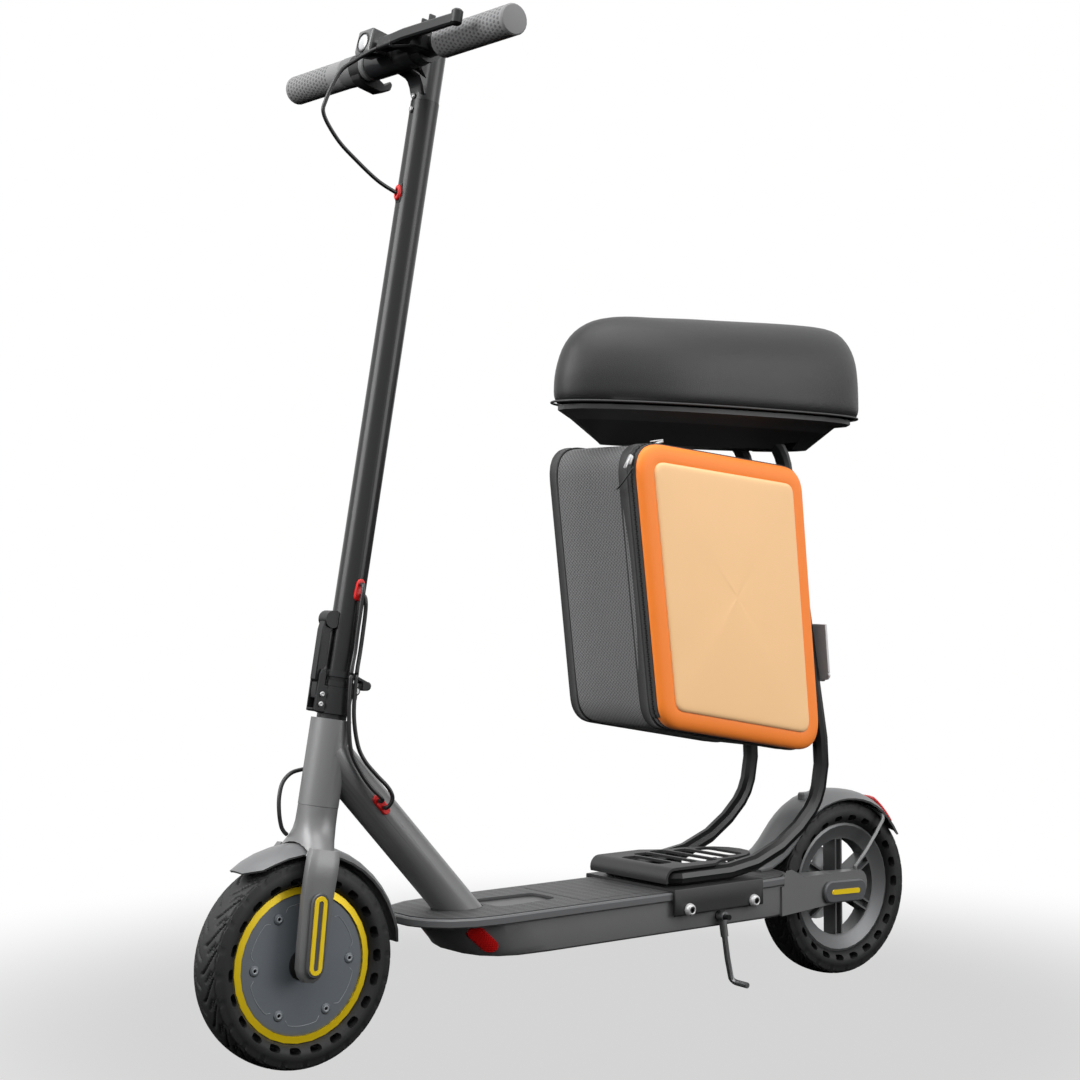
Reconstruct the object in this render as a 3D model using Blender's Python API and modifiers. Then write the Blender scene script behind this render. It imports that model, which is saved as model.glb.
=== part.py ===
"""Folding electric scooter with a bolt-on saddle, a U-shaped seat frame and a zipped side bag.

Metres. X points forward, Y to the rider's left, Z up. The origin is on the ground, midway along
and midway across. Two frames carry the pieces. The rear frame is upright on the rear axle. The
steering frame sits on the front axle and leans back with the head tube, so that its Z runs up
the stem. A piece under a pivot keeps the coordinates of the frame round that pivot.
"""

import math

import bmesh
import bpy
from mathutils import Matrix, Vector

# Fits
GAP = 0.0003  # between pieces that touch
RUN = 0.0008  # between pieces that turn past each other

# Wheels
TYRE_R = 0.108
TYRE_HALF = 0.025
WHEELBASE = 0.783
RIM_R = 0.0797
RIM_HALF = 0.0175
AXLE_R = 0.005
SLOTS = 22  # honeycomb openings round each tyre
SLOT_LENGTH = 0.0135
SLOT_WIDTH = 0.0070
SLOT_RISE = 0.0068  # middle of a slot above the rim

# Rear end
REAR_X = -WHEELBASE / 2
ARM_INNER = 0.0335
ARM_TIP_Y = 0.0455
ARM_ROOT_Y = 0.0733
ARM_ROOT_X = 0.158
DISC_R = 0.045

# Deck, with heights from the axles
DECK_TOP = 0.0345
TRIM_LOW = 0.024
DECK_BOTTOM = -0.0118
TRIM_HALF = 0.077
TRIM_WIDTH = 0.0063
TRIM_OVERHANG = 0.0035
MAT_THICK = 0.0027
NOSE_X = WHEELBASE - 0.1262
NOSE_LENGTH = 0.087
NOSE_POWER = 2.3
TAIL_X = 0.118
TAIL_LENGTH = 0.060
TAIL_POWER = 2.5
NOSE_RAKE = 0.030  # how far the housing's nose draws back on its way down
NOSE_SETBACK = 0.034  # how far the trim's nose hangs over the housing's
NOSE_BLUNT = 2.9  # the housing's nose is squarer at the bottom
POCKET_REAR = 0.190
POCKET_TOP = 0.0190
CONTROLLER_BACK = 0.0962  # from the deck's nose to the controller
CONTROLLER_LENGTH = 0.070
HOUSING_WALL = 0.0065
COVER_THICK = 0.0023

# Steering column, along the leaning axis from the front axle
RAKE = math.radians(9.92)
HEAD_R = 0.0215
HEAD_LOW = 0.1605
HEAD_TOP = 0.251
HEAD_BORE = 0.0165
STEERER_R = 0.0125
NECK_R = 0.022
NECK_FOOT_BACK = 0.0805  # foot of the down tube behind the nose
NECK_DROP = 0.0325  # where the down tube meets the head tube, below its top
NECK_MEET = HEAD_TOP - NECK_DROP
LEG_INNER = 0.032
LEG_OUTER = 0.045
NARROW_HALF = 0.0262  # the front fender's half width between the fork's legs
STEM_R = 0.0158
STEM_WALL = 0.0024
STEM_TOP = 0.9317
BAR_RISE = 0.0394  # the bar above the stem tube
BAR_U = STEM_TOP + BAR_RISE
COLLAR_R = 0.0185
HINGE_W = -0.0195
HINGE_EYE_R = 0.0052
HINGE_U = 0.2835
SPLIT_U = 0.2850  # where the folding base ends and the stem begins

# Handlebar
BAR_W = 0.0429
BAR_R = 0.0112
BAR_HALF = 0.215
GRIP_R = 0.0168
GRIP_LEFT = 0.087
GRIP_RIGHT = -0.0997
HEAD_CLAMP_HALF = 0.0440  # how far the stem head's clamp reaches along the bar

# Seat kit, with heights from the axles
SADDLE_FRONT = 0.333
SADDLE_BACK = 0.1966
SADDLE_OUTER = 0.0815
SADDLE_DROP = 0.0270
SHEET = 0.003
SEAT_TUBE_R = 0.0095
SEAT_TUBE_Z = 0.0475
SEAT_TUBE_Y = 0.063
SEAT_PLATE_TOP = 0.0603
SEAT_PLATE_HALF = 0.0695
SEAT_PLATE_WAIST = 0.0525  # half width behind, between the rising tubes
SEAT_REAR = -0.006
SEAT_NOSE = 0.438
SEAT_HALF = 0.108
SEAT_NOSE_HALF = 0.079
SEAT_REAR_POWER = 3.0
SEAT_NOSE_POWER = 2.2
SEAT_SEAM = 0.5905
SEAT_TOP = 0.7020
PAN_BOTTOM = 0.5470

# Bag
BAG_HALF = 0.085
BAG_SPLIT = 0.071
BAG_WALL = 0.003
BAG_CORNER = 0.035
BAG_CORNERS = ((0.3905, 0.5490), (0.3525, 0.2230), (0.0985, 0.1770), (0.1285, 0.5210))

FINISHES = {
    "frame": ((0.085, 0.087, 0.090), 0.42, 0.55),
    "black": ((0.018, 0.018, 0.019), 0.38, 0.20),
    "rubber": ((0.022, 0.022, 0.023), 0.80, 0.0),
    "mat": ((0.055, 0.055, 0.057), 0.85, 0.0),
    "grip": ((0.190, 0.190, 0.195), 0.75, 0.0),
    "steel": ((0.480, 0.480, 0.485), 0.30, 1.0),
    "silver": ((0.600, 0.600, 0.600), 0.35, 0.9),
    "yellow": ((0.720, 0.520, 0.020), 0.45, 0.0),
    "cover": ((0.105, 0.115, 0.130), 0.55, 0.1),
    "fender": ((0.200, 0.200, 0.205), 0.55, 0.2),
    "red": ((0.420, 0.010, 0.012), 0.35, 0.0),
    "vinyl": ((0.026, 0.026, 0.027), 0.45, 0.0),
    "orange": ((0.900, 0.300, 0.040), 0.50, 0.0),
    "mesh": ((0.075, 0.075, 0.078), 0.85, 0.0),
    "lamp": ((0.750, 0.750, 0.740), 0.25, 0.0),
    "green": ((0.020, 0.130, 0.060), 0.50, 0.0),
}


# Scene and frames


def new_collection(name):
    collection = bpy.data.collections.new(name)
    bpy.context.scene.collection.children.link(collection)
    return collection


def clear_scene():
    for obj in list(bpy.data.objects):
        bpy.data.objects.remove(obj, do_unlink=True)


clear_scene()
PARTS = new_collection("electric_scooter")
CUTTERS = new_collection("cutters")


def back_shift(parent):
    """Undoes a pivot's own place, so that what hangs from it keeps its frame's coordinates."""
    return Matrix.Translation(-Vector(parent["at"])) if "at" in parent else Matrix()


def add_frame(name, at, lean=0.0):
    empty = bpy.data.objects.new(name, None)
    PARTS.objects.link(empty)
    empty.location = at
    empty.rotation_euler = (0, -lean, 0)
    return empty


def add_pivot(name, parent, at):
    empty = bpy.data.objects.new(name, None)
    PARTS.objects.link(empty)
    empty.parent = parent
    empty.matrix_parent_inverse = back_shift(parent)
    empty.location = at
    empty["at"] = at
    return empty


def adopt(obj, parent):
    PARTS.objects.link(obj)
    obj.parent = parent
    obj.matrix_parent_inverse = back_shift(parent)
    return obj


REAR = add_frame("rear_frame", (REAR_X, 0, TYRE_R))
STEER = add_frame("steering_frame", (REAR_X + WHEELBASE, 0, TYRE_R), RAKE)
STEM = add_pivot("stem_pivot", STEER, (HINGE_W, 0, HINGE_U))


# Modelling helpers


def dress(obj, finish):
    colour, roughness, metallic = FINISHES[finish]
    material = bpy.data.materials.new(obj.name)
    material.use_nodes = True
    shader = material.node_tree.nodes["Principled BSDF"]
    shader.inputs["Base Color"].default_value = (*colour, 1)
    shader.inputs["Roughness"].default_value = roughness
    shader.inputs["Metallic"].default_value = metallic
    material.diffuse_color = (*colour, 1)
    obj.data.materials.clear()
    obj.data.materials.append(material)
    return obj


def solid(name, bm, parent, sharp=35, turn=True):
    if turn:
        bmesh.ops.recalc_face_normals(bm, faces=bm.faces)
    mesh = bpy.data.meshes.new(name)
    bm.to_mesh(mesh)
    bm.free()
    mesh.shade_smooth()
    mesh.set_sharp_from_angle(angle=math.radians(sharp))
    return adopt(bpy.data.objects.new(name, mesh), parent)


def bevel(obj, width, segments=1, angle=40):
    modifier = obj.modifiers.new("rounded edges", "BEVEL")
    modifier.width = width
    modifier.segments = segments
    modifier.limit_method = "ANGLE"
    modifier.angle_limit = math.radians(angle)
    return obj


def hide(obj):
    for collection in list(obj.users_collection):
        collection.objects.unlink(obj)
    CUTTERS.objects.link(obj)
    obj.hide_render = True
    obj.display_type = "WIRE"


def combine(obj, other, operation):
    modifier = obj.modifiers.new(operation.lower() + " " + other.name, "BOOLEAN")
    modifier.operation = operation
    modifier.object = other
    modifier.solver = "EXACT"
    hide(other)
    return obj


def cut(obj, *others):
    for other in others:
        combine(obj, other, "DIFFERENCE")
    return obj


def join(obj, *others):
    for other in others:
        combine(obj, other, "UNION")
    return obj


def keep_inside(obj, other):
    return combine(obj, other, "INTERSECT")


def block(name, low, high, parent):
    low, high = Vector(low), Vector(high)
    bm = bmesh.new()
    bmesh.ops.create_cube(bm, size=1)
    bmesh.ops.scale(bm, vec=high - low, verts=bm.verts)
    bmesh.ops.translate(bm, vec=(high + low) / 2, verts=bm.verts)
    return solid(name, bm, parent)


def rod(name, radius, start, end, parent, sides=20, end_radius=None):
    start, end = Vector(start), Vector(end)
    along = end - start
    bm = bmesh.new()
    bmesh.ops.create_cone(
        bm,
        cap_ends=True,
        segments=sides,
        radius1=radius,
        radius2=radius if end_radius is None else end_radius,
        depth=along.length,
    )
    turn = along.to_track_quat("Z", "Y").to_matrix().to_4x4()
    bmesh.ops.transform(bm, matrix=Matrix.Translation((start + end) / 2) @ turn, verts=bm.verts)
    return solid(name, bm, parent)


def signed_area(points):
    ends = points[1:] + points[:1]
    return sum(a[0] * b[1] - b[0] * a[1] for a, b in zip(points, ends)) / 2


def turned(name, profile, parent, at=(0, 0, 0), axis="Y", steps=34):
    """Turns a profile of (radius, distance along the axis). One that leaves the axis is a ring."""
    profile = list(profile)
    if signed_area(profile) > 0:
        profile.reverse()
    ring = min(radius for radius, _ in profile) > 0
    if not ring:
        while profile[0][0] > 0 or profile[-1][0] > 0:
            profile = profile[1:] + profile[:1]
    mesh = bpy.data.meshes.new(name)
    edges = [(i, i + 1) for i in range(len(profile) - 1)]
    if ring:
        edges.append((len(profile) - 1, 0))
    mesh.from_pydata([(radius, 0, along) for radius, along in profile], edges, [])
    obj = adopt(bpy.data.objects.new(name, mesh), parent)
    obj.location = at
    obj.rotation_euler = {"X": (0, math.pi / 2, 0), "Y": (-math.pi / 2, 0, 0), "Z": (0, 0, 0)}[axis]
    screw = obj.modifiers.new("turning", "SCREW")
    screw.steps = steps
    screw.render_steps = steps
    screw.use_merge_vertices = True
    screw.merge_threshold = 0.00001
    return obj


PLANES = {
    "XY": Matrix.Identity(4),
    "XZ": Matrix.Rotation(math.pi / 2, 4, "X"),
    "YZ": Matrix(((0, 0, 1, 0), (1, 0, 0, 0), (0, 1, 0, 0), (0, 0, 0, 1))),
}
NORMALS = {"XY": Vector((0, 0, 1)), "XZ": Vector((0, 1, 0)), "YZ": Vector((1, 0, 0))}


def plate(name, outlines, low, high, parent, plane="XZ", sharp=35):
    """A flat outline, with any further outlines as holes, as thick as low to high."""
    curve = bpy.data.curves.new(name, "CURVE")
    curve.dimensions = "2D"
    curve.fill_mode = "BOTH"
    curve.extrude = abs(high - low) / 2
    for outline in outlines:
        spline = curve.splines.new("POLY")
        spline.points.add(len(outline) - 1)
        for point, (x, y) in zip(spline.points, outline):
            point.co = (x, y, 0, 1)
        spline.use_cyclic_u = True
    flat = bpy.data.objects.new(name + " outline", curve)
    bpy.context.scene.collection.objects.link(flat)
    bpy.context.view_layer.update()
    mesh = bpy.data.meshes.new_from_object(flat.evaluated_get(bpy.context.evaluated_depsgraph_get()))
    bpy.data.objects.remove(flat, do_unlink=True)
    bpy.data.curves.remove(curve)
    bm = bmesh.new()
    bm.from_mesh(mesh)
    bpy.data.meshes.remove(mesh)
    bmesh.ops.remove_doubles(bm, verts=bm.verts, dist=0.000001)
    bmesh.ops.dissolve_limit(bm, angle_limit=math.radians(1), verts=bm.verts, edges=bm.edges)
    place = Matrix.Translation(NORMALS[plane] * (low + high) / 2) @ PLANES[plane]
    bmesh.ops.transform(bm, matrix=place, verts=bm.verts)
    return solid(name, bm, parent, sharp)


def loft(name, rings, parent, sharp=35):
    """Skins rings of equally many points, and closes the first and the last."""
    bm = bmesh.new()
    rows = [[bm.verts.new(point) for point in ring] for ring in rings]
    for low, high in zip(rows, rows[1:]):
        for i in range(len(low)):
            j = (i + 1) % len(low)
            bm.faces.new((low[i], low[j], high[j], high[i]))
    bm.faces.new(rows[0][::-1])
    bm.faces.new(rows[-1])
    return solid(name, bm, parent, sharp)


def shell(name, place, columns, rows, thickness, parent, offset=-1.0):
    """A sheet round its frame's origin, whose points place(s, t) gives for s and t from 0 to 1."""
    bm = bmesh.new()
    bmesh.ops.create_grid(bm, x_segments=columns, y_segments=rows, size=0.5)
    for vert in bm.verts:
        vert.co = place(vert.co.x + 0.5, vert.co.y + 0.5)
    bm.normal_update()
    if sum(face.normal.dot(face.calc_center_median()) for face in bm.faces) < 0:
        bmesh.ops.reverse_faces(bm, faces=bm.faces)
    obj = solid(name, bm, parent, 50, turn=False)
    modifier = obj.modifiers.new("sheet", "SOLIDIFY")
    modifier.thickness = thickness
    modifier.offset = offset
    modifier.use_even_offset = True
    return obj


def catmull_rom(before, start, end, after, t):
    return 0.5 * (
        2 * start
        + (end - before) * t
        + (2 * before - 5 * start + 4 * end - after) * t**2
        + (3 * start - before - 3 * end + after) * t**3
    )


def smooth_route(points, spacing, straight_ends=False):
    """Points at about this spacing along a smooth curve through the given ones."""
    points = [Vector(point) for point in points]
    first = 2 * points[0] - points[1]
    last = 2 * points[-1] - points[-2]
    chain = [first] + points + [last]
    fine = [
        catmull_rom(*chain[i : i + 4], step / 20)
        for i in range(len(points) - 1)
        for step in range(20)
    ] + [points[-1]]
    if straight_ends:
        fine = fine[20:-20]
    length = sum((b - a).length for a, b in zip(fine, fine[1:]))
    count = max(2, round(length / spacing))
    route, walked, target = [fine[0]], 0.0, length / count
    for a, b in zip(fine, fine[1:]):
        step = (b - a).length
        while walked + step >= target and len(route) < count:
            route.append(a.lerp(b, (target - walked) / step))
            target += length / count
        walked += step
    route.append(fine[-1])
    return [points[0]] + route + [points[-1]] if straight_ends else route


def thinned(route, turn, longest):
    """Leaves out the points of a route that bend it by less than this many degrees in all."""
    kept = [route[0]]
    bent = 0.0
    for last, here, after in zip(route, route[1:], route[2:]):
        bent += math.degrees((here - last).angle(after - here))
        if bent >= turn or (after - kept[-1]).length > longest:
            kept.append(here)
            bent = 0.0
    return kept + [route[-1]]


def tube(name, points, radius, parent, resolution=3):
    """A round bar or cable along these points, with closed ends."""
    curve = bpy.data.curves.new(name, "CURVE")
    curve.dimensions = "3D"
    curve.bevel_depth = radius
    curve.bevel_resolution = resolution
    curve.use_fill_caps = True
    spline = curve.splines.new("POLY")
    spline.points.add(len(points) - 1)
    for point, place in zip(spline.points, points):
        point.co = (*place, 1)
    spline.use_smooth = True
    return adopt(bpy.data.objects.new(name, curve), parent)


def as_mesh(obj, parent):
    """The same tube as a mesh with its caps welded on, so that it can be cut or joined."""
    bpy.context.view_layer.update()
    graph = bpy.context.evaluated_depsgraph_get()
    mesh = bpy.data.meshes.new_from_object(obj.evaluated_get(graph))
    name = obj.name
    curve = obj.data
    bpy.data.objects.remove(obj, do_unlink=True)
    bpy.data.curves.remove(curve)
    bm = bmesh.new()
    bm.from_mesh(mesh)
    bpy.data.meshes.remove(mesh)
    bmesh.ops.remove_doubles(bm, verts=bm.verts, dist=0.000001)
    return solid(name, bm, parent)


# Outlines


def arc(centre, radius, start, end, count):
    """Points on an arc, in degrees, counted from the first axis towards the second."""
    return [
        (
            centre[0] + radius * math.cos(math.radians(start + (end - start) * i / count)),
            centre[1] + radius * math.sin(math.radians(start + (end - start) * i / count)),
        )
        for i in range(count + 1)
    ]


def pill(start, end, radius, count=6):
    """A slot with round ends between two points."""
    along = math.degrees(math.atan2(end[1] - start[1], end[0] - start[0]))
    return arc(end, radius, along - 90, along + 90, count) + arc(start, radius, along + 90, along + 270, count)


def rounded(corners, radius, count=5):
    """A polygon with each corner rounded to this radius."""
    outline = []
    for i, corner in enumerate(corners):
        here = Vector(corner)
        to_last = (Vector(corners[i - 1]) - here).normalized()
        to_next = (Vector(corners[(i + 1) % len(corners)]) - here).normalized()
        half = to_last.angle(to_next) / 2
        centre = here + (to_last + to_next).normalized() * radius / math.sin(half)
        start = here + to_last * radius / math.tan(half) - centre
        end = here + to_next * radius / math.tan(half) - centre
        turn = start.angle_signed(end)
        for step in range(count + 1):
            angle = -turn * step / count
            spun = Matrix.Rotation(angle, 2) @ start
            outline.append(tuple(centre + spun))
    return outline


def curved(value, power):
    return math.copysign(abs(value) ** (2 / power), value)


def deck_outline(inset, setback=0.0, count=9, nose_power=NOSE_POWER):
    """The deck's plan: straight sides, a rounded nose and a rounded tail."""
    half = TRIM_HALF - inset
    nose_middle = NOSE_X - NOSE_LENGTH - setback
    nose = NOSE_LENGTH - inset
    tail_middle = TAIL_X + TAIL_LENGTH
    tail = TAIL_LENGTH - inset
    points = []
    for i in range(count + 1):
        angle = math.radians(-90 + 180 * i / count)
        x = nose_middle + nose * curved(math.cos(angle), nose_power)
        points.append((x, half * curved(math.sin(angle), nose_power)))
    for i in range(count + 1):
        angle = math.radians(90 + 180 * i / count)
        x = tail_middle + tail * curved(math.cos(angle), TAIL_POWER)
        points.append((x, half * curved(math.sin(angle), TAIL_POWER)))
    return points


def nose_outline(inset, rear):
    """The plan of the housing's underside, drawn in by the inset and cut off square behind."""
    nose = deck_outline(inset, NOSE_SETBACK + NOSE_RAKE, nose_power=NOSE_BLUNT)[:10]
    half = TRIM_HALF - inset
    return [(rear, -half)] + nose + [(rear, half)]


def at_height(outline, z):
    return [(x, y, z) for x, y in outline]


# Deck and rear arms


def arm_face(x):
    """How far out a rear arm's outer face is at x."""
    return ARM_TIP_Y + (ARM_ROOT_Y - ARM_TIP_Y) * x / ARM_ROOT_X


def housing(name, grow, top):
    """The deck's lower body, from the trim down, with its nose drawn back."""
    side = TRIM_OVERHANG - grow
    depth = TRIM_LOW - DECK_BOTTOM
    setback = NOSE_SETBACK - grow
    rings = [at_height(deck_outline(side, setback), TRIM_LOW)]
    if top:
        rings.insert(0, at_height(deck_outline(side, setback), TRIM_LOW + top))
    for share, back, draw in ((0.35, 0.36, 0.0), (0.75, 0.82, 0.0), (0.94, 0.98, 0.0008), (1.0, 1.0, 0.0030)):
        power = NOSE_POWER + (NOSE_BLUNT - NOSE_POWER) * share
        outline = deck_outline(side + draw, NOSE_RAKE * back + setback, nose_power=power)
        rings.append(at_height(outline, TRIM_LOW - depth * share - grow * (share == 1.0)))
    return loft(name, rings[::-1], REAR)


def arm_outline():
    low = DECK_BOTTOM
    tip = arc((-0.0010, 0.0070), 0.0175, 250, 100, 6)
    return [(ARM_ROOT_X, 0.0230), (ARM_ROOT_X, low)] + tip + [(0.100, 0.0288), (0.1130, 0.0290), (0.1165, 0.0232)]


def arm_ear(name, side, grow):
    """The thin upright ear of an arm, outside the trim."""
    outline = [
        (0.1000, 0.0180 - grow),
        (0.1535 + grow, 0.0180 - grow),
        (0.1535 + grow, 0.0310 + grow),
        (0.1475, 0.0400 + grow),
        (0.1365, 0.0400 + grow),
        (0.1130, 0.0290 + grow),
        (0.1000, 0.0288 + grow),
    ]
    ear = plate(name, [outline], side * 0.010, side * 0.020, REAR)
    for vertex in ear.data.vertices:
        out = grow * 20 if abs(vertex.co.y) > 0.015 else -0.0018 - grow
        vertex.co.y = side * (arm_face(vertex.co.x) + out)
    return ear


def rear_arm(side):
    arm = plate("rear arm", [arm_outline()], side * ARM_INNER, side * ARM_ROOT_Y, REAR)
    for vertex in arm.data.vertices:
        if abs(vertex.co.y) > (ARM_INNER + ARM_ROOT_Y) / 2:
            vertex.co.y = side * arm_face(vertex.co.x)
    return arm


def make_chassis():
    chassis = housing("chassis", 0.0, 0.0)
    plateau = loft(
        "deck plate",
        [
            at_height(deck_outline(TRIM_WIDTH + 0.0005), z)
            for z in (TRIM_LOW - 0.0008, DECK_TOP - MAT_THICK - GAP)
        ],
        REAR,
    )
    join(chassis, plateau, rear_arm(1), rear_arm(-1), arm_ear("left ear", 1, 0.0), arm_ear("right ear", -1, 0.0))
    skin = TRIM_OVERHANG + HOUSING_WALL
    recess_top = DECK_BOTTOM + COVER_THICK + GAP
    pocket = plate(
        "battery pocket",
        [nose_outline(skin + 0.0030, POCKET_REAR)],
        DECK_BOTTOM - 0.01,
        POCKET_TOP,
        REAR,
        "XY",
    )
    mouth = plate(
        "cover recess",
        [nose_outline(skin, POCKET_REAR - 0.015)],
        DECK_BOTTOM - 0.01,
        recess_top,
        REAR,
        "XY",
    )
    wheel_well = rod("wheel well", TYRE_R + 0.0045, (0, -ARM_INNER, 0), (0, ARM_INNER, 0), REAR, 40)
    axle_hole = rod("axle hole", AXLE_R + GAP, (0, -0.1, 0), (0, 0.1, 0), REAR, 16)
    cut(chassis, pocket, mouth, wheel_well, axle_hole)
    return dress(chassis, "frame")


def make_bottom_cover():
    plan = nose_outline(TRIM_OVERHANG + HOUSING_WALL + GAP, POCKET_REAR - 0.015 + GAP)
    cover = plate("bottom_cover", [plan], DECK_BOTTOM, DECK_BOTTOM + COVER_THICK, REAR, "XY")
    return dress(cover, "black")


def make_battery():
    half = TRIM_HALF - TRIM_OVERHANG - HOUSING_WALL - 0.0030 - 0.0015
    low = (POCKET_REAR + 0.006, -half, DECK_BOTTOM + COVER_THICK + GAP)
    front = NOSE_X - CONTROLLER_BACK - CONTROLLER_LENGTH - GAP * 2
    high = (front, half, POCKET_TOP - 0.001)
    battery = bevel(block("battery_pack", low, high, REAR), 0.003)
    return dress(battery, "cover")


def make_controller():
    rear = NOSE_X - CONTROLLER_BACK - CONTROLLER_LENGTH
    low = (rear, -0.036, DECK_BOTTOM + COVER_THICK + GAP)
    high = (rear + CONTROLLER_LENGTH, 0.036, POCKET_TOP - 0.006)
    box = block("controller", low, high, REAR)
    ribs = [
        block("heat rib", (x, -0.032, high[2] - 0.001), (x + 0.003, 0.032, high[2] + 0.005), REAR)
        for x in (rear + 0.008, rear + 0.020, rear + 0.032, rear + 0.044, rear + 0.056)
    ]
    join(box, *ribs)
    return dress(box, "silver")


def make_edge_trim():
    outer = deck_outline(0.0)
    inner = deck_outline(TRIM_WIDTH)
    trim = plate("edge_trim", [outer, inner], TRIM_LOW + GAP, DECK_TOP - 0.0007, REAR, "XY")
    bevel(trim, 0.0022, 1, 60)
    cut(trim, arm_ear("left trim notch", 1, GAP), arm_ear("right trim notch", -1, GAP))
    return dress(trim, "frame")


def neck_line():
    """The down tube's foot on the deck, and where its middle meets the steering axis."""
    foot = Vector((NOSE_X - NECK_FOOT_BACK, 0, DECK_TOP - MAT_THICK))
    meet = Vector((WHEELBASE - NECK_MEET * math.sin(RAKE), 0, NECK_MEET * math.cos(RAKE)))
    return foot, meet


def make_deck_mat():
    recess = rounded(
        [
            (NOSE_X - 0.2000, -0.0240),
            (NOSE_X - 0.1150, -0.0290),
            (NOSE_X - 0.1150, 0.0290),
            (NOSE_X - 0.2000, 0.0240),
        ],
        0.012,
    )
    mat = plate("deck_mat", [deck_outline(TRIM_WIDTH + 0.0005), recess], DECK_TOP - MAT_THICK, DECK_TOP, REAR, "XY")
    foot, meet = neck_line()
    hole = rod("neck hole", NECK_R + 0.001, foot - (meet - foot) * 0.3, meet, REAR, 32)
    cut(mat, hole)
    # The standing zone between the seat's plate and the neck's foot is raised a little, and is the deck's mount
    join(mat, block("standing zone", (0.3450, -0.0550, DECK_TOP - 0.0008), (0.4450, 0.0550, DECK_TOP + 0.0003), REAR))
    return dress(mat, "mat")


def make_side_reflectors():
    for side, word in ((1, "left"), (-1, "right")):
        front = NOSE_X - 0.0645
        outline = pill((front, 0.0160), (front - 0.0165, -0.0002), 0.0066, 6)
        reflector = plate("side_reflector_" + word, [outline], side * 0.040, side * 0.080, REAR)
        keep_inside(reflector, housing("reflector skin", 0.0015, 0.0))
        cut(reflector, housing("reflector seat", GAP, 0.01))
        dress(reflector, "red")


def make_arm_covers():
    for side, word in ((1, "left"), (-1, "right")):
        slant = math.atan2(ARM_ROOT_Y - ARM_TIP_Y, ARM_ROOT_X)
        cover = plate("arm_cover_" + word, [pill((-0.031, 0), (0.031, 0), 0.0132, 8)], 0, 0.0052, REAR)
        bevel(cover, 0.0016, 1, 60)
        stripe = plate("stripe", [pill((-0.026, 0), (0.026, 0), 0.0030, 6)], 0.0045, 0.0060, REAR)
        join(cover, stripe)
        if side < 0:
            for piece in (cover, stripe):
                piece.data.transform(Matrix.Scale(-1, 4, (0, 1, 0)))
                piece.data.flip_normals()
        centre_x = 0.0340
        for piece in (cover, stripe):
            piece.rotation_euler = (0, math.radians(-4.0), side * slant)
            piece.location = (centre_x, side * (arm_face(centre_x) + GAP / math.cos(slant)), 0.0030)
        dress(cover, "frame")


# Wheels


def tyre_profile():
    bore = RIM_R + GAP
    half = [
        (bore, 0.0165),
        (bore + 0.0065, TYRE_HALF - 0.0008),
        (bore + 0.0140, TYRE_HALF - 0.0004),
        (TYRE_R - 0.0085, TYRE_HALF - 0.0022),
        (TYRE_R - 0.0024, 0.0130),
    ]
    crown = [(TYRE_R, 0.0)]
    return half + crown + [(radius, -along) for radius, along in reversed(half)]


def tyre(name, parent):
    body = turned(name, tyre_profile(), parent, steps=SLOTS * 2)
    middle = RIM_R + SLOT_RISE
    reach = SLOT_LENGTH / 2 - SLOT_WIDTH / 2
    slots = []
    for i in range(SLOTS):
        turn = Matrix.Rotation(2 * math.pi * i / SLOTS, 2)
        ends = [tuple(turn @ Vector((middle, shift))) for shift in (-reach, reach)]
        slots.append(pill(*ends, SLOT_WIDTH / 2, 2))
    cutter = plate("tyre slots", slots, -TYRE_HALF * 2, TYRE_HALF * 2, parent)
    cut(body, cutter)
    return dress(body, "rubber")


def make_front_wheel(axle):
    tyre("front_tyre", axle)
    ring_in = RIM_R - 0.0070
    profile = [
        (AXLE_R + GAP, 0.0245),
        (0.0095, 0.0245),
        (0.0105, 0.0190),
        (0.0160, 0.0178),
        (0.0160, 0.0128),
        (ring_in, 0.0128),
        (ring_in, RIM_HALF),
        (RIM_R, RIM_HALF - 0.0010),
        (RIM_R, -RIM_HALF + 0.0010),
        (ring_in, -RIM_HALF),
        (ring_in, -0.0150),
        (0.0620, -0.0165),
        (0.0200, -0.0185),
        (0.0150, -0.0245),
        (AXLE_R + GAP, -0.0245),
    ]
    dress(turned("front_hub_motor", profile, axle, steps=30), "yellow")
    cover_r = ring_in - GAP
    face = [
        (0.0160 + GAP, 0.0131),
        (0.0160 + GAP, 0.0172),
        (0.0300, 0.0168),
        (0.0600, 0.0162),
        (cover_r - 0.0030, 0.0158),
        (cover_r, 0.0150),
        (cover_r, 0.0131),
    ]
    cover = turned("front_hub_cover", face, axle, steps=30)
    bosses = []
    for i in range(6):
        angle = math.radians(60 * i) - RAKE
        x, z = 0.0560 * math.cos(angle), 0.0560 * math.sin(angle)
        bosses.append(rod("screw boss", 0.0045, (x, 0.0140, z), (x, 0.0182, z), axle, 10, 0.0038))
    join(cover, *bosses)
    dress(cover, "cover")


def spoke(angle, axle):
    """A U-shaped spoke: a bar with a channel down its outer face."""
    bar = block("spoke", (0.0140, -0.0105, -0.0062), (0.0625, 0.0105, 0.0062), axle)
    channel = block("channel", (0.0200, 0.0035, -0.0038), (0.0590, 0.0200, 0.0038), axle)
    cut(bar, channel)
    for piece in (bar, channel):
        piece.data.transform(Matrix.Rotation(angle, 4, "Y"))
    return bar


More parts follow.
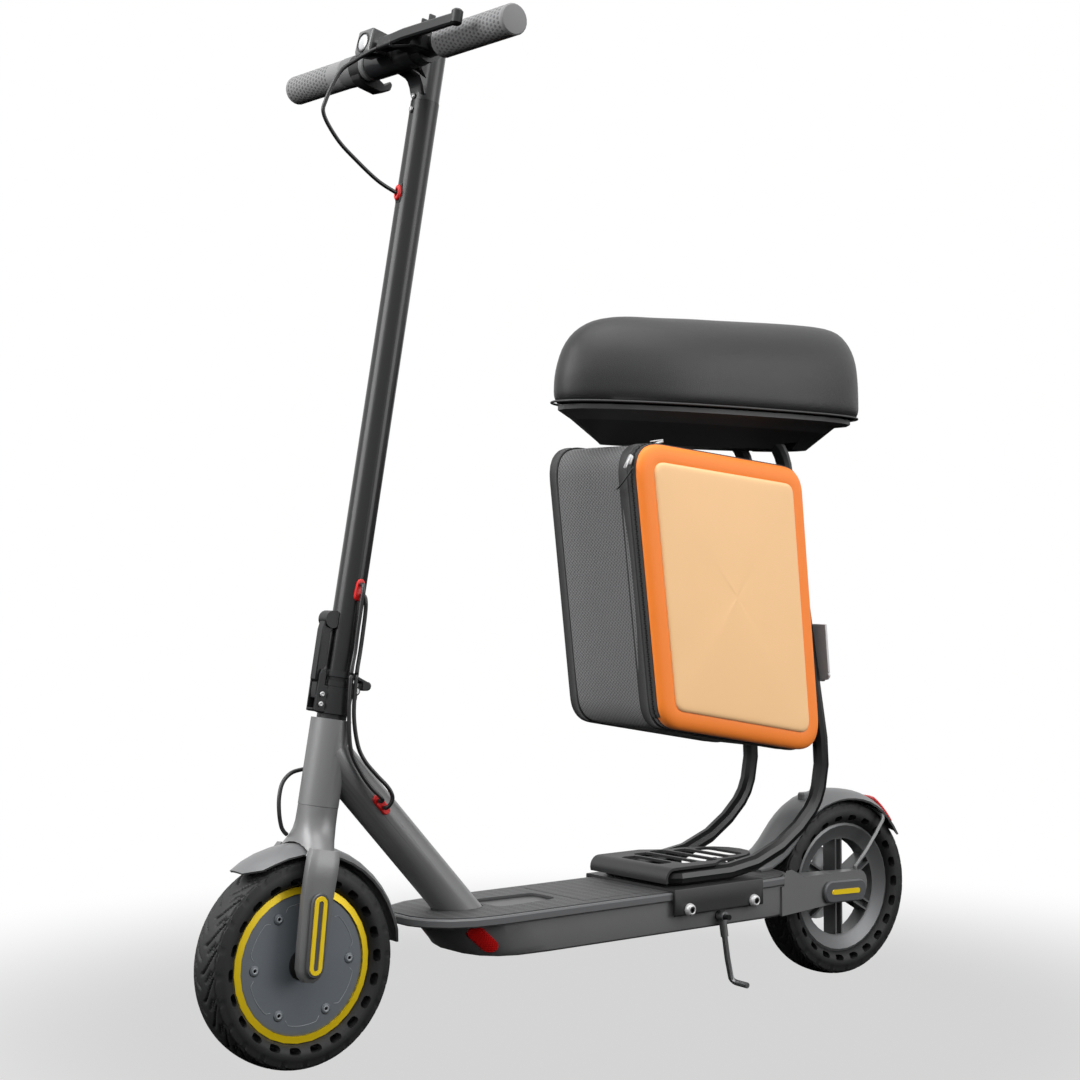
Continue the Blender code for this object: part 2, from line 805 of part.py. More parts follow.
def make_rear_wheel(axle):
    tyre("rear_tyre", axle)
    half = [
        (RIM_R, RIM_HALF - 0.0015),
        (RIM_R - 0.0030, RIM_HALF),
        (0.0640, 0.0112),
        (0.0600, 0.0105),
    ]
    ring = half + [(radius, -along) for radius, along in reversed(half)]
    rim = turned("rear_rim", ring, axle)
    hub_profile = [
        (AXLE_R + GAP, 0.0255),
        (0.0110, 0.0255),
        (0.0165, 0.0150),
        (0.0165, -0.0150),
        (0.0117, -0.0200),
        (0.0117, -0.0300),
        (AXLE_R + GAP, -0.0300),
    ]
    hub = turned("hub", hub_profile, axle, steps=20)
    join(rim, hub, *[spoke(math.radians(60 * i + 30), axle) for i in range(6)])
    dress(rim, "frame")
    disc = turned(
        "rear_brake_disc",
        [(0.0120, -0.0260), (DISC_R, -0.0260), (DISC_R, -0.0280), (0.0120, -0.0280)],
        axle,
    )
    holes = []
    for i in range(6):
        angle = math.radians(60 * i + 5)
        x, z = 0.0335 * math.cos(angle), 0.0335 * math.sin(angle)
        holes.append(rod("disc hole", 0.0045, (x, -0.035, z), (x, -0.020, z), axle, 7))
    cut(disc, *holes)
    dress(disc, "steel")


def make_rear_axle():
    reach = arm_face(-AXLE_R) - 2 * GAP
    axle = rod("rear_axle", AXLE_R, (0, -reach, 0), (0, reach, 0), REAR, 16)
    return dress(axle, "steel")


def make_caliper():
    body = block("brake_caliper", (0.0260, -ARM_INNER + GAP, 0.0060), (0.0560, -0.0212, 0.0440), REAR)
    bevel(body, 0.0030)
    slot = block("disc slot", (0.0, -0.0290, -0.01), (0.0520, -0.0250, 0.0380), REAR)
    cut(body, slot)
    inlet = rod("cable inlet", 0.0035, (0.0540, -0.0290, 0.0260), (0.0720, -0.0290, 0.0300), REAR, 12)
    join(body, inlet)
    return dress(body, "black")


# Fenders

FENDER_THICK = 0.0025


def arch(path, edge_drop, half_width):
    """A fender's sheet: the crown follows the path and its edges curl in towards the axle."""

    def place(s, t):
        at = s * (len(path) - 1)
        i = min(int(at), len(path) - 2)
        crown = path[i].lerp(path[i + 1], at - i)
        side = 2 * t - 1
        inward = -crown.normalized()
        return crown + inward * edge_drop * abs(side) ** 2.6 + Vector((0, side * half_width, 0))

    return place


def polar(radius, degrees):
    return Vector((radius * math.cos(math.radians(degrees)), 0, radius * math.sin(math.radians(degrees))))


def make_front_fender(axle_frame):
    """An arched sheet over the front wheel, narrower where it passes between the fork's legs."""
    first, last = 45, 166

    def place(s, t):
        degrees = first + (last - first) * s
        end = min(1.0, 0.12 + min(degrees - first, last - degrees) / 14)
        across = (2 * t - 1) * NARROW_HALF * math.sqrt(1 - (1 - end) ** 2)
        return polar(0.1218 - 0.0085 * abs(across / NARROW_HALF) ** 2.6, degrees) + Vector((0, across, 0))

    fender = shell("front_fender", place, 15, 6, FENDER_THICK, axle_frame)
    return dress(fender, "fender")


# The crown of the rear fender, as (degrees round the axle, radius).
FENDER_CROWN = (
    (145, 0.1150),
    (138, 0.1160),
    (131, 0.1172),
    (122, 0.1190),
    (113, 0.1204),
    (103, 0.1212),
    (91, 0.1218),
    (80, 0.1230),
    (65, 0.1250),
    (52, 0.1245),
    (42, 0.1240),
)


def fender_crown(degrees):
    for (high, outer), (low, inner) in zip(FENDER_CROWN, FENDER_CROWN[1:]):
        if high >= degrees >= low:
            return inner + (outer - inner) * (degrees - low) / (high - low)
    return FENDER_CROWN[0][1]


def make_rear_fender():
    crown = [polar(radius, degrees) for degrees, radius in FENDER_CROWN]
    crown += [Vector((0.1000, 0, 0.0740)), Vector((0.1130, 0, 0.0605)), Vector((0.1267, 0, 0.0495))]
    crown += [Vector((0.1400, 0, 0.0412)), Vector((0.1560, 0, 0.0378))]
    path = smooth_route(crown, 0.0150)
    place = arch(path, 0.0100, 0.0330)

    def landing(s, t):
        """The front end flattens out where it lands on the deck."""
        point = place(s, t)
        lie = max(0.0, (point.x - 0.105) / 0.051)
        side = abs(2 * t - 1)
        point += path[-1].normalized() * 0.0100 * side**2.6 * min(1.0, lie)
        point.z = max(point.z, DECK_TOP + FENDER_THICK + GAP + 0.0006)
        return point

    fender = shell("rear_fender", landing, len(path) - 1, 6, FENDER_THICK, REAR)
    hook = block("fold hook", (0.0400, -0.0060, 0.1100), (0.0560, 0.0060, 0.1200), REAR)
    bevel(hook, 0.002)
    join(fender, hook)
    return dress(fender, "fender")


def make_tail_light():
    def place(s, t):
        degrees = 118 + 23 * s
        side = 2 * t - 1
        radius = fender_crown(degrees) + GAP + 0.0004 - 0.0100 * abs(side * 0.0165 / 0.0330) ** 2.6
        return polar(radius, degrees) + Vector((0, side * 0.0165, 0))

    light = shell("tail_light", place, 5, 4, 0.0042, REAR, 1.0)
    bevel(light, 0.0012, 1, 60)
    return dress(light, "red")


def make_fender_stay():
    """One bent bar: up from the left arm's end, across inside the fender, and down to the right arm."""
    side = [
        (0.0020, 0.0420, 0.0253),
        (0.0010, 0.0420, 0.0305),
        (-0.0250, 0.0400, 0.0515),
        (-0.0400, 0.0380, 0.0664),
        (-0.0480, 0.0370, 0.0750),
        (-0.0552, 0.0352, 0.0812),
        (-0.0582, 0.0310, 0.0860),
        (-0.0598, 0.0225, 0.0886),
        (-0.0624, 0.0110, 0.0925),
    ]
    route = side + [(x, -y, z) for x, y, z in reversed(side)]
    stay = tube("fender_stay", thinned(smooth_route(route, 0.004), 9, 0.03), 0.0024, REAR, 2)
    return dress(stay, "steel")


# Kickstand


def make_kickstand():
    pivot = (0.2600, 0.0799, 0.0005)
    x, y, z = pivot
    face = TRIM_HALF - TRIM_OVERHANG
    bracket = rod("kickstand_bracket", 0.0032, (x, face + GAP, z), (x, 0.0925, z), REAR, 14)
    flange = rod("bracket flange", 0.0058, (x, face + GAP, z), (x, face + 0.0012, z), REAR, 14)
    join(bracket, flange)
    dress(bracket, "steel")
    carrier = add_pivot("kickstand_pivot", REAR, pivot)
    inner, outer = face + 0.0012 + GAP, 0.0850
    sleeve = rod("kickstand", 0.0056, (x, inner, z), (x, outer, z), carrier, 18)
    barrel = rod("barrel", 0.0046, (x, y, z - 0.001), (x - 0.0035, y, z - 0.0235), carrier, 14)
    route = [
        (x - 0.0030, y, z - 0.0200),
        (x - 0.0060, y, z - 0.0400),
        (x - 0.0120, y, z - 0.0690),
        (x - 0.0150, y + 0.0020, z - 0.0755),
        (x - 0.0165, y + 0.0090, z - 0.0775),
        (x - 0.0175, y + 0.0235, z - 0.0780),
    ]
    leg = as_mesh(tube("leg", thinned(smooth_route(route, 0.003), 10, 0.03), 0.0034, carrier, 2), carrier)
    join(sleeve, barrel, leg)
    hole = rod("pivot hole", 0.0032 + GAP, (x, y - 0.02, z), (x, y + 0.02, z), carrier, 14)
    cut(sleeve, hole)
    return dress(sleeve, "steel")


# Neck, fork and front end


def grommet(name, low, high, start, end, plane, parent, grow=0.0):
    return plate(name, [pill(start, end, 0.0050 + grow, 5)], low, high, parent, plane)


def make_neck():
    foot, meet = neck_line()
    along = (meet - foot).normalized()
    neck = rod("neck_tube", NECK_R, foot - along * 0.05, meet, REAR, 28)
    head = rod("head tube", HEAD_R, (0, 0, HEAD_LOW), (0, 0, HEAD_TOP), STEER, 28)
    join(neck, head)
    middle = foot + along * 0.1694
    side = Vector((middle.x, middle.z))
    run = Vector((along.x, along.z)) * 0.0085
    ends = tuple(side - run), tuple(side + run)
    room = grommet("neck grommet room", NECK_R - 0.0036, NECK_R + 0.01, *ends, "XZ", REAR, GAP)
    seated = grommet("neck_grommet", NECK_R - 0.0036 + GAP, NECK_R + 0.0018, *ends, "XZ", REAR)
    dress(bevel(seated, 0.0010, 1, 60), "red")
    bore = rod("head bore", HEAD_BORE, (0, 0, HEAD_LOW - 0.01), (0, 0, HEAD_TOP + 0.01), STEER, 24)
    under = block("deck level", (foot.x - 0.1, -0.05, foot.z - 0.1), (foot.x + 0.1, 0.05, foot.z + GAP), REAR)
    cut(neck, bore, under, room)
    return dress(neck, "frame")


def make_bearing(turning):
    low, high = HEAD_LOW + 0.0005, HEAD_LOW + 0.0090
    ring = [
        (STEERER_R + GAP, low),
        (HEAD_BORE - GAP, low),
        (HEAD_BORE - GAP, high),
        (STEERER_R + GAP, high),
    ]
    return dress(turned("lower_bearing", ring, turning, axis="Z", steps=20), "steel")


def oval(half_w, half_y, w, u, y=0.0, power=2.3, count=18):
    """One ring of the fork, round or squarer."""
    return [
        (
            w + half_w * curved(math.cos(2 * math.pi * i / count), power),
            y + half_y * curved(math.sin(2 * math.pi * i / count), power),
            u,
        )
        for i in range(count)
    ]


def fork_leg(side, turning):
    """A leg, from inside the crown down to its rounded end below the axle."""
    middle = (LEG_INNER + LEG_OUTER) / 2
    half = (LEG_OUTER - LEG_INNER) / 2
    rows = (
        (-0.0150, middle, half - 0.0020, 0.0050, 0.0060),
        (-0.0105, middle, half - 0.0003, 0.0050, 0.0115),
        (-0.0030, middle, half, 0.0050, 0.0155),
        (0.0200, middle, half, 0.0062, 0.0168),
        (0.0700, middle, half, 0.0086, 0.0182),
        (0.0890, middle, half, 0.0084, 0.0186),
        (0.1000, middle - 0.0008, half + 0.0003, 0.0078, 0.0186),
        (0.1090, middle - 0.0028, half + 0.0004, 0.0066, 0.0182),
        (0.1180, middle - 0.0060, half - 0.0004, 0.0045, 0.0168),
    )
    rings = [oval(half_w, half_y, w, u, side * y, 4.0, 14) for u, y, half_y, w, half_w in rows]
    return loft("fork leg", rings, turning, 50)


def make_fork(turning):
    """The crown spreads from the head tube's size into the two legs, hollowed under by the fender's shape."""
    rows = (
        (0.0184, 0.0426, 0.0066, 0.1095),
        (0.0186, 0.0392, 0.0052, 0.1155),
        (0.0187, 0.0342, 0.0036, 0.1215),
        (0.0193, 0.0283, 0.0020, 0.1275),
        (0.0200, 0.0235, 0.0005, 0.1345),
        (0.0203, 0.0214, 0.0, 0.1430),
        (0.0209, 0.0210, 0.0, 0.1520),
        (0.0213, 0.0213, 0.0, HEAD_LOW - GAP),
    )
    rings = [oval(*row, power=2.0 + 0.9 * (HEAD_LOW - row[3]) / 0.051) for row in rows]
    fork = loft("fork", rings, turning, 50)
    steerer = rod("steerer", STEERER_R, (0, 0, HEAD_LOW - 0.01), (0, 0, HEAD_TOP + 0.022), turning, 20)
    join(fork, fork_leg(1, turning), fork_leg(-1, turning), steerer)
    under = [(0.0, LEG_INNER), (0.1105, LEG_INNER), (0.1125, NARROW_HALF + 0.0010)]
    under += [(0.1168, NARROW_HALF + 0.0010), (0.1206, 0.0190), (0.1228, 0.0110), (0.1238, 0.0)]
    profile = under + [(radius, -along) for radius, along in reversed(under[:-1])]
    wheel_room = turned("wheel room", profile, turning, steps=48)
    axle_hole = rod("fork axle hole", AXLE_R + GAP, (0, -0.06, 0), (0, 0.06, 0), turning, 16)
    cut(fork, wheel_room, axle_hole)
    return dress(fork, "frame")


def make_fork_covers(turning):
    for side, word in ((1, "left"), (-1, "right")):
        low = side * (LEG_OUTER + GAP)
        high = side * (LEG_OUTER + 0.0034)
        ends = (0.0038, 0.0005), (0.0088, 0.0650)
        cover = plate("fork_cover_" + word, [pill(*ends, 0.0105, 7)], low, high, turning)
        bevel(cover, 0.0010, 1, 60)
        band = [pill(*ends, 0.0072, 6), pill(*ends, 0.0028, 5)]
        strip = plate("reflective band", band, side * (LEG_OUTER + 0.0030), side * (LEG_OUTER + 0.0044), turning)
        join(cover, strip)
        dress(cover, "yellow")


def make_front_axle(turning):
    reach = LEG_OUTER - 0.0004
    axle = rod("front_axle", AXLE_R, (0, -reach, 0), (0, reach, 0), turning, 16)
    return dress(axle, "steel")


# Folding joint

LEVER_W = 0.0218
LEVER_U = 0.2752
LATCH_HALF = 0.0070


def make_folding_base(turning):
    low = HEAD_TOP + GAP
    race = HEAD_BORE - RUN
    profile = [
        (race, low - 0.0090),
        (race, low + 0.0045),
        (COLLAR_R, low + 0.0052),
        (COLLAR_R, SPLIT_U - GAP),
        (0.0, SPLIT_U - GAP),
        (0.0, low - 0.0090),
    ]
    base = turned("folding_base", profile, turning, axis="Z", steps=24)
    latch = block("latch housing", (0.0, -LATCH_HALF, low + 0.0052), (0.0285, LATCH_HALF, 0.2745), turning)
    bevel(latch, 0.0018)
    clevis = block("clevis", (HINGE_W - 0.0025, -0.0090, 0.2745), (-0.0080, 0.0090, HINGE_U), turning)
    lugs = rod("clevis eye", HINGE_EYE_R, (HINGE_W, -0.0090, HINGE_U), (HINGE_W, 0.0090, HINGE_U), turning, 16)
    side_view = [
        (0.0125, 0.2568),
        (0.0272, 0.2568),
        (0.0276, 0.2950),
        (0.0258, 0.3010),
        (0.0205, 0.3020),
        (0.0196, 0.2975),
        (0.0196, SPLIT_U - GAP),
        (0.0125, SPLIT_U - GAP),
    ]
    cheeks = [
        bevel(plate("side plate", [side_view], side * LATCH_HALF, side * (LATCH_HALF + 0.0022), turning), 0.0007)
        for side in (1, -1)
    ]
    bolts = [
        rod("plate bolt", 0.0026, (LEVER_W, side * 0.0085, u), (LEVER_W, side * 0.0104, u), turning, 10)
        for side in (1, -1)
        for u in (0.2648, LEVER_U)
    ]
    join(base, latch, clevis, lugs, *cheeks, *bolts)
    seat = rod("steerer seat", STEERER_R + GAP, (0, 0, low - 0.02), (0, 0, HEAD_TOP + 0.0225), turning, 20)
    tongue = block("tongue slot", (-0.0300, -0.0050, 0.2760), (-0.0110, 0.0050, 0.3000), turning)
    pin = rod("pin hole", 0.0026 + GAP, (HINGE_W, -0.02, HINGE_U), (HINGE_W, 0.02, HINGE_U), turning, 14)
    lever_room = block("lever slot", (0.0192, -LATCH_HALF + 0.0010, 0.2600), (0.0400, LATCH_HALF - 0.0010, 0.3100), turning)
    # The lever's tail turns past its bolt as the lever comes down, and needs this room behind it
    lever_sweep = rod("lever sweep", 0.0073, (LEVER_W, -LATCH_HALF + 0.0010, LEVER_U), (LEVER_W, LATCH_HALF - 0.0010, LEVER_U), turning, 24)
    cut(base, seat, tongue, pin, lever_room, lever_sweep)
    return dress(base, "black")


def make_hinge_pin(turning):
    pin = rod("hinge_pin", 0.0026, (HINGE_W, -0.0100, HINGE_U), (HINGE_W, 0.0100, HINGE_U), turning, 14)
    heads = [
        rod("pin head", 0.0031, (HINGE_W, side * (0.0090 + GAP), HINGE_U), (HINGE_W, side * 0.0107, HINGE_U), turning, 14)
        for side in (1, -1)
    ]
    join(pin, *heads)
    return dress(pin, "steel")


def make_fold_lever(turning):
    carrier = add_pivot("fold_lever_pivot", turning, (LEVER_W, 0, LEVER_U))
    half = LATCH_HALF - 0.0014
    outline = [
        (0.0196, 0.2700),
        (0.0262, 0.2700),
        (0.0272, 0.2780),
        (0.0272, 0.2880),
        (0.0303, 0.2890),
        (0.0306, 0.3420),
        (0.0285, 0.3545),
        (0.0235, 0.3625),
        (0.0150, 0.3640),
        (0.0100, 0.3600),
        (0.0100, 0.3470),
        (0.0178, 0.3440),
        (0.0198, 0.3400),
        (0.0190, 0.3060),
        (0.0206, 0.3030),
        (0.0206, 0.2790),
        (0.0196, 0.2760),
    ]
    lever = plate("fold_lever", [outline], -half, half, carrier)
    bevel(lever, 0.0010, 1, 50)
    knob = rod("lever knob", 0.0092, (0.0205, -0.0078, 0.3540), (0.0205, 0.0078, 0.3540), carrier, 20)
    join(lever, knob)
    stem_room = rod("stem room", STEM_R + RUN, (0, 0, 0.27), (0, 0, 0.40), carrier, 24)
    bolt_room = rod("lever bolt hole", 0.0022, (LEVER_W, -0.02, LEVER_U), (LEVER_W, 0.02, LEVER_U), carrier, 12)
    hollow = block("lever hollow", (0.0100, -half + 0.0016, 0.3070), (0.0275, half - 0.0016, 0.3380), carrier)
    cut(lever, stem_room, hollow, bolt_room)
    return dress(lever, "black")


def make_stem(stem):
    low = SPLIT_U
    profile = [
        (0.0, low),
        (COLLAR_R, low),
        (COLLAR_R, low + 0.0062),
        (STEM_R, low + 0.0062),
        (STEM_R, STEM_TOP),
        (0.0, STEM_TOP),
    ]
    tube_body = turned("stem_tube", profile, stem, axis="Z", steps=24)
    reach = HINGE_EYE_R + RUN
    eye_room = [
        rod("eye room", reach, (HINGE_W, side * 0.0040, HINGE_U), (HINGE_W, side * 0.0100, HINGE_U), stem, 20)
        for side in (1, -1)
    ]
    tongue = block("hinge tongue", (HINGE_W - 0.0020, -0.0042, HINGE_U), (-0.0120, 0.0042, low + 0.0050), stem)
    eye = rod("hinge eye", HINGE_EYE_R, (HINGE_W, -0.0042, HINGE_U), (HINGE_W, 0.0042, HINGE_U), stem, 16)
    front_entry = grommet("upper cable entry", -0.004, 0.004, (STEM_R - 0.0040, 0.816), (STEM_R - 0.0040, 0.832), "XZ", stem)
    ends = (0.0000, 0.3815), (-0.0010, 0.3955)
    room = grommet("stem grommet room", 0.0080, STEM_R + 0.01, *ends, "XZ", stem, GAP)
    seated = grommet("stem_grommet", 0.0112, STEM_R + 0.0016, *ends, "XZ", stem)
    dress(bevel(seated, 0.0009, 1, 60), "red")
    screws = [
        rod("clamp screw", 0.0030, (STEM_R - 0.004, 0, u), (STEM_R + 0.0012, 0, u), stem, 10)
        for u in (0.9185,)
    ]
    join(tube_body, front_entry, *screws)
    cut(tube_body, *eye_room)
    join(tube_body, tongue, eye)
    bore = rod("stem bore", STEM_R - STEM_WALL, (0, 0, low + 0.012), (0, 0, STEM_TOP + 0.01), stem, 20)
    pin = rod("tongue hole", 0.0026 + RUN, (HINGE_W, -0.02, HINGE_U), (HINGE_W, 0.02, HINGE_U), stem, 14)
    cut(tube_body, bore, pin, room)
    return dress(tube_body, "black")


def make_lock_ring(stem):
    low, high = SPLIT_U + 0.0062 + GAP, 0.3015
    carrier = add_pivot("lock_ring_pivot", stem, (0, 0, (low + high) / 2))
    profile = [
        (STEM_R + 0.0005, low),
        (0.0172, low),
        (0.0172, low + 0.0032),
        (0.0190, low + 0.0036),
        (0.0190, high),
        (STEM_R + 0.0005, high),
    ]
    ring = turned("lock_ring", profile, carrier, axis="Z", steps=24)
    outline = [(-0.0178, high - 0.0006)] + [(-0.0290, 0.2972)]
    outline += arc((-0.0362, 0.2905), 0.0048, 80, 260, 6)
    outline += [(-0.0320, 0.2850), (-0.0294, 0.2852), (-0.0284, 0.2935), (-0.0178, low + 0.0040)]
    tab = plate("lock tab", [outline], -0.0048, 0.0048, carrier)
    bevel(tab, 0.0012)
    join(ring, tab)
    return dress(ring, "black")


# Handlebar


def make_stem_head(stem):
    """A casting from the tube's top up and forward to the bar, with a display cap above."""
    column = rod("stem_head", 0.0152, (0, 0, STEM_TOP + GAP), (0, 0, BAR_U + 0.0159), stem, 20)
    side_view = [
        (-0.0020, STEM_TOP + 0.0040),
        (0.0125, STEM_TOP + 0.0040),
        (0.0165, BAR_U - 0.0251),
        (0.0215, BAR_U - 0.0171),
        (0.0330, BAR_U - 0.0143),
        (0.0500, BAR_U - 0.0151),
        (0.0610, BAR_U - 0.0101),
        (0.0660, BAR_U - 0.0031),
        (0.0640, BAR_U + 0.0089),
        (0.0500, BAR_U + 0.0159),
        (-0.0020, BAR_U + 0.0209),
    ]
    body = plate("casting", [side_view], -0.0128, 0.0128, stem)
    bevel(body, 0.0022, 1, 30)
    cap = plate("display cap", [pill((0.0010, 0), (0.0420, 0), 0.0130, 6)], BAR_U + 0.0139, BAR_U + 0.0214, stem, "XY")
    web = loft(
        "web",
        [
            [(w, -half, low), (w, half, low), (w, half, high), (w, -half, high)]
            for w, half, low, high in (
                (0.0080, 0.0115, BAR_U - 0.0211, BAR_U + 0.0139),
                (0.0220, 0.0180, BAR_U - 0.0121, BAR_U + 0.0139),
                (0.0350, 0.0330, BAR_U - 0.0086, BAR_U + 0.0089),
                (0.0480, 0.0400, BAR_U - 0.0071, BAR_U + 0.0059),
            )
        ],
        stem,
    )
    bevel(web, 0.0025, 1, 30)
    clamp = rod("bar clamp", 0.0172, (BAR_W, -0.0455, BAR_U), (BAR_W, HEAD_CLAMP_HALF, BAR_U), stem, 20)
    bevel(clamp, 0.0020, 1, 60)
    plug = rod("stem plug", STEM_R - STEM_WALL - GAP, (0, 0, STEM_TOP - 0.045), (0, 0, STEM_TOP + 0.01), stem, 20)
    bore = rod("bar bore", BAR_R + GAP, (BAR_W, -0.06, BAR_U), (BAR_W, 0.06, BAR_U), stem, 20)
    button_well = rod("button well", 0.0066, (0.0020, 0, BAR_U + 0.0174), (0.0020, 0, BAR_U + 0.0389), stem, 16)
    join(column, body, cap, web, clamp, plug)
    cut(column, bore, button_well)
    return dress(column, "black")


def make_power_button(stem):
    carrier = add_pivot("power_button_slide", stem, (0.0020, 0, BAR_U + 0.0189))
    button = rod("power_button", 0.0060, (0.0020, 0, BAR_U + 0.0189), (0.0020, 0, BAR_U + 0.0227), carrier, 16)
    bevel(button, 0.0006)
    return dress(button, "cover")


def make_handlebar(stem):
    bar = rod("handlebar", BAR_R, (BAR_W, -0.2060, BAR_U), (BAR_W, 0.2060, BAR_U), stem, 20)
    return dress(bar, "black")


def make_grips(stem):
    for word, start, end in (("left", GRIP_LEFT, BAR_HALF), ("right", GRIP_RIGHT, -BAR_HALF)):
        side = math.copysign(1, end)
        inner, outer = abs(start), abs(end)
        bore = BAR_R + GAP
        profile = [
            (bore, inner),
            (GRIP_R - 0.0008, inner),
            (GRIP_R, inner + 0.0012),
            (GRIP_R, outer - 0.0020),
            (GRIP_R - 0.0014, outer - 0.0003),
            (GRIP_R - 0.0030, outer),
            (0.0, outer),
            (0.0, 0.2060 + GAP),
            (bore, 0.2060 + GAP),
        ]
        grip = turned("grip_" + word, [(radius, side * along) for radius, along in profile], stem, (BAR_W, 0, BAR_U), steps=22)
        dress(grip, "grip")


def perch_block(name, inner, rows, stem):
    """A block forward of the bar, from rows of (y, reach forward, depth below, height above)."""
    rings = [
        [(inner, y, BAR_U - low), (inner, y, BAR_U + high), (reach, y, BAR_U + high), (reach, y, BAR_U - low)]
        for y, reach, low, high in rows
    ]
    return bevel(loft(name, rings, stem), 0.0017)


def make_brake_perch(stem):
    inner = HEAD_CLAMP_HALF + 0.0011
    clamp = rod("brake_perch", 0.0165, (BAR_W, inner, BAR_U), (BAR_W, 0.0610, BAR_U), stem, 18)
    body_rows = ((inner + 0.0003, 0.0826, 0.0098, 0.0076), (0.0740, 0.0700, 0.0098, 0.0078))
    body = perch_block("perch body", 0.0395, body_rows, stem)
    wing_rows = ((0.0205, 0.0850, 0.0080, 0.0050), (inner + 0.0060, 0.0818, 0.0094, 0.0074))
    wing = perch_block("perch wing", 0.0697, wing_rows, stem)
    barrel = rod("cable adjuster", 0.0036, (0.0780, 0.0450, BAR_U - 0.0020), (0.0886, 0.0316, BAR_U - 0.0106), stem, 12)
    post = rod("bell post", 0.0045, (0.0500, 0.0545, BAR_U + 0.0050), (0.0500, 0.0545, BAR_U + 0.0190), stem, 12)
    join(clamp, body, wing, barrel, post)
    bore = rod("perch bore", BAR_R + GAP, (BAR_W, 0.01, BAR_U), (BAR_W, 0.12, BAR_U), stem, 20)
    lever_slot = block("lever slot", (0.0620, inner - 0.0004, BAR_U - 0.0076), (0.1200, 0.1200, BAR_U + 0.0064), stem)
    cut(clamp, bore, lever_slot)
    return dress(clamp, "black")


def make_brake_lever(stem):
    pivot = (0.0720, 0.0520, BAR_U)
    carrier = add_pivot("brake_lever_pivot", stem, pivot)
    front = [(0.0845, 0.0455), (0.0862, 0.0700), (0.0855, 0.0900), (0.0840, 0.1450), (0.0830, 0.1640)]
    rear = [(0.0760, 0.1640), (0.0762, 0.1440), (0.0765, 0.0920), (0.0745, 0.0740), (0.0675, 0.0580), (0.0670, 0.0455)]
    blade = plate("brake_lever", [front + rear], BAR_U - 0.0068, BAR_U + 0.0056, carrier, "XY")
    bevel(blade, 0.0018, 1, 50)
    tip = rod("lever tip", 0.0062, (0.0800, 0.1640, BAR_U - 0.0085), (0.0800, 0.1640, BAR_U + 0.0085), carrier, 14)
    bevel(tip, 0.0022, 1, 60)
    join(blade, tip)
    return dress(blade, "black")


def make_bell_lever(stem):
    pivot = (0.0500, 0.0545, BAR_U + 0.0200)
    carrier = add_pivot("bell_pivot", stem, pivot)
    low = BAR_U + 0.0190 + GAP
    arm = plate("bell_lever", [pill((0.0500, 0.0545), (0.0570, 0.0810), 0.0042, 5)], low, low + 0.0022, carrier, "XY")
    tabs = [
        block("thumb tab", (x, y, low + 0.001), (x + 0.0070, y + 0.0026, low + 0.0080), carrier)
        for x, y in ((0.0510, 0.0610), (0.0540, 0.0795))
    ]
    join(arm, *tabs)
    return dress(arm, "black")


def make_headlight(stem):
    top, bottom = BAR_U + 0.0175, BAR_U - 0.0125
    side_view = [(0.0668, bottom + 0.0040), (0.0880, bottom), (0.0900, bottom + 0.0060), (0.0880, top), (0.0668, top - 0.0020)]
    box = plate("headlight", [side_view], -0.0144, 0.0144, stem)
    bevel(box, 0.0018, 2, 30)
    lens = turned(
        "lens",
        [(0.0, 0.0020), (0.0060, 0.0016), (0.0095, 0.0), (0.0095, -0.004), (0.0, -0.004)],
        stem,
        (0.0885, 0, BAR_U + 0.0020),
        "X",
        24,
    )
    join(box, lens)
    return dress(box, "black")


def make_throttle(stem):
    housing_ring = rod("throttle_housing", 0.0172, (BAR_W, -0.0992, BAR_U), (BAR_W, -0.0480, BAR_U), stem, 20)
    bevel(housing_ring, 0.0012, 1, 60)
    bore = rod("throttle bore", BAR_R + GAP, (BAR_W, -0.12, BAR_U), (BAR_W, -0.04, BAR_U), stem, 20)
    groove = turned(
        "lever groove",
        [(0.0140, -0.0560), (0.0300, -0.0560), (0.0300, -0.0760), (0.0140, -0.0760)],
        stem,
        (BAR_W, 0, BAR_U),
        steps=20,
    )
    cut(housing_ring, bore, groove)
    dress(housing_ring, "grip")
    carrier = add_pivot("throttle_pivot", stem, (BAR_W, 0, BAR_U))
    ring = turned(
        "throttle_lever",
        [(0.0140 + GAP, -0.0566), (0.0174, -0.0566), (0.0174, -0.0754), (0.0140 + GAP, -0.0754)],
        carrier,
        (BAR_W, 0, BAR_U),
        steps=20,
    )
    outline = [
        (0.0560, BAR_U - 0.0111),
        (0.0535, BAR_U - 0.0176),
        (0.0440, BAR_U - 0.0221),
        (0.0240, BAR_U - 0.0241),
        (0.0116, BAR_U - 0.0181),
        (0.0098, BAR_U - 0.0111),
        (0.0130, BAR_U - 0.0075),
        (0.0200, BAR_U - 0.0136),
        (0.0290, BAR_U - 0.0091),
    ]
    paddle = plate("thumb paddle", [outline], -0.0746, -0.0574, carrier)
    bevel(paddle, 0.0012)
    join(ring, paddle)
    clearance = rod("paddle bore", 0.0140 + GAP, (BAR_W, -0.08, BAR_U), (BAR_W, -0.05, BAR_U), carrier, 20)
    cut(ring, clearance)
    return dress(ring, "black")


# Cables

